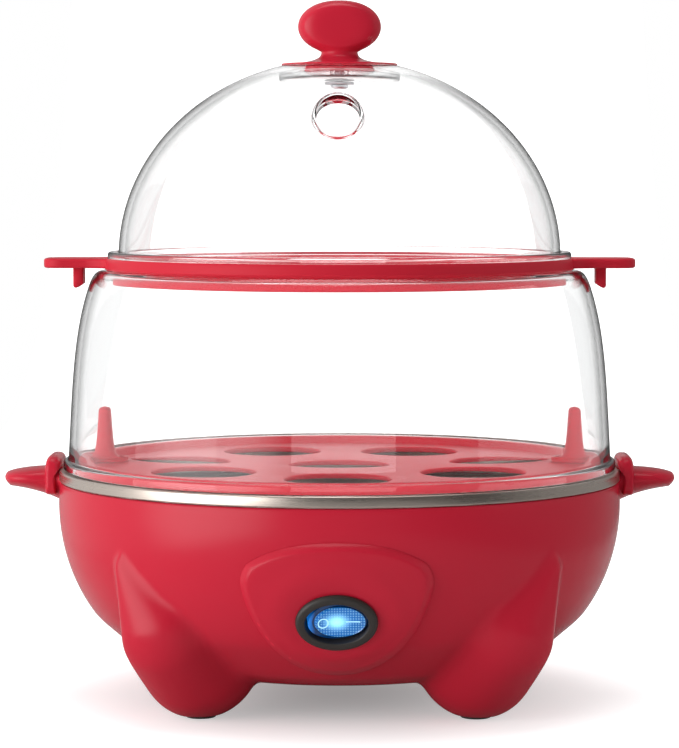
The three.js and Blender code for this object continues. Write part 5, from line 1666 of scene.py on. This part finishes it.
def studio_world(world):
    """White to the camera and through glass; to everything else a dim room with soft lights.

    The room's level is room_rise times the height of the direction plus room_level. Each soft light
    is added to it, and grows along a smooth curve from its edge to its direction.
    """
    room_rise, room_level = 0.05, 0.09
    r = Recipe("world", world)
    way = r.add("TexCoord").outputs["Generated"]
    height = r.add("SeparateXYZ", {0: way}).outputs[2]
    level = r.math("MULTIPLY_ADD", height, room_rise, room_level)
    for towards, start, strength in SOFT_LIGHTS:
        facing = r.add("VectorMath", {0: way, 1: unit(np.array(towards)).tolist()},
                       operation="DOT_PRODUCT").outputs["Value"]
        level = r.math("ADD", level, r.soft_step(facing, start, 1.0, 0.0, strength))
    room = r.add("Background", {0: (1, 1, 1, 1), 1: level})
    white = r.add("Background", {0: (1, 1, 1, 1), 1: 1.0})
    mix = r.add("MixShader", {0: r.seen(), 1: room.outputs[0], 2: white.outputs[0]})
    r.add("OutputWorld", {0: mix.outputs[0]})


def sweep_mesh(half_width, front, back, bend, top):
    """Floor that runs back and bends up over a quarter circle to an upright wall, in metres."""
    a = np.linspace(0, np.pi / 2, 24)
    curve = np.column_stack([back - bend + bend * np.sin(a), bend * (1 - np.cos(a))])
    profile = np.vstack([[(-front, 0)], curve, [(back, top)]])
    x = np.array([-half_width, half_width])
    depth, height = profile[:, :1] + 0 * x, profile[:, 1:] + 0 * x
    points, faces = grid(np.stack([x + 0 * depth, depth, height], -1), close_columns=False)
    mesh = bpy.data.meshes.new("backdrop")
    mesh.from_pydata(points.tolist(), [], faces.tolist())
    mesh.shade_smooth()
    return mesh


class EGGCOOKER_OT_stage(bpy.types.Operator):
    """Camera, floor, lamps and world"""
    bl_idname = "eggcooker.stage"
    bl_label = "Stage"

    def execute(self, context):
        scene = context.scene
        swing, pitch, distance, eye = math.radians(0.55), math.radians(3.87), 1.0, 0.176
        camera = bpy.data.objects.new("camera", bpy.data.cameras.new("camera"))
        camera.data.sensor_fit, camera.data.sensor_width = "HORIZONTAL", 36
        camera.data.lens = 157.84
        camera.location = (distance * math.sin(swing), -distance * math.cos(swing), eye)
        camera.rotation_euler = (math.pi / 2 - pitch, 0, swing)
        scene.collection.objects.link(camera)
        scene.camera = camera

        mesh = sweep_mesh(half_width=0.24, front=0.55, back=1.6, bend=0.6, top=3.4)
        mesh.materials.append(backdrop_material(scene.egg_finishes.floor))
        floor = bpy.data.objects.new("backdrop", mesh)
        scene.collection.objects.link(floor)

        for lamp in LAMPS:
            add_lamp(*lamp)
        world = bpy.data.worlds.new("studio")
        scene.world = world
        studio_world(world)
        scene.view_settings.view_transform = "Standard"
        return {"FINISHED"}


# ---------------------------------------------------------------- panel and registration
STEPS = (
    EGGCOOKER_OT_finishes, EGGCOOKER_OT_shell, EGGCOOKER_OT_plate, EGGCOOKER_OT_lower_tray,
    EGGCOOKER_OT_tier, EGGCOOKER_OT_upper_tray, EGGCOOKER_OT_lid, EGGCOOKER_OT_knob,
    EGGCOOKER_OT_handles, EGGCOOKER_OT_switch, EGGCOOKER_OT_underside, EGGCOOKER_OT_inside,
    EGGCOOKER_OT_stage,
)
GROUPS = {
    "egg_shell": EggShellSizes, "egg_plate": EggPlateSizes, "egg_panel": EggPanelSizes,
    "egg_handles": EggHandleSizes, "egg_trays": EggTraySizes, "egg_tier": EggTierSizes,
    "egg_lid": EggLidSizes, "egg_knob": EggKnobSizes, "egg_finishes": EggFinishes,
}


class EGGCOOKER_PT_panel(bpy.types.Panel):
    """Lists the steps that build the egg cooker"""
    bl_idname = "EGGCOOKER_PT_panel"
    bl_label = "Egg Cooker"
    bl_space_type = "VIEW_3D"
    bl_region_type = "UI"
    bl_category = "Egg Cooker"

    def draw(self, context):
        for step in STEPS:
            self.layout.operator(step.bl_idname)


def register():
    """Registers every class and hangs the property groups on the scene."""
    for kind in (*GROUPS.values(), *STEPS, EGGCOOKER_PT_panel):
        bpy.utils.register_class(kind)
    for name, kind in GROUPS.items():
        setattr(bpy.types.Scene, name, PointerProperty(type=kind))


def unregister():
    """Takes the property groups and classes away again."""
    for name in GROUPS:
        delattr(bpy.types.Scene, name)
    for kind in reversed((*GROUPS.values(), *STEPS, EGGCOOKER_PT_panel)):
        bpy.utils.unregister_class(kind)


def main():
    """Builds everything in order."""
    register()
    for step in STEPS:
        getattr(bpy.ops.eggcooker, step.bl_idname.split(".")[1])()


if __name__ == "__main__":
    main()
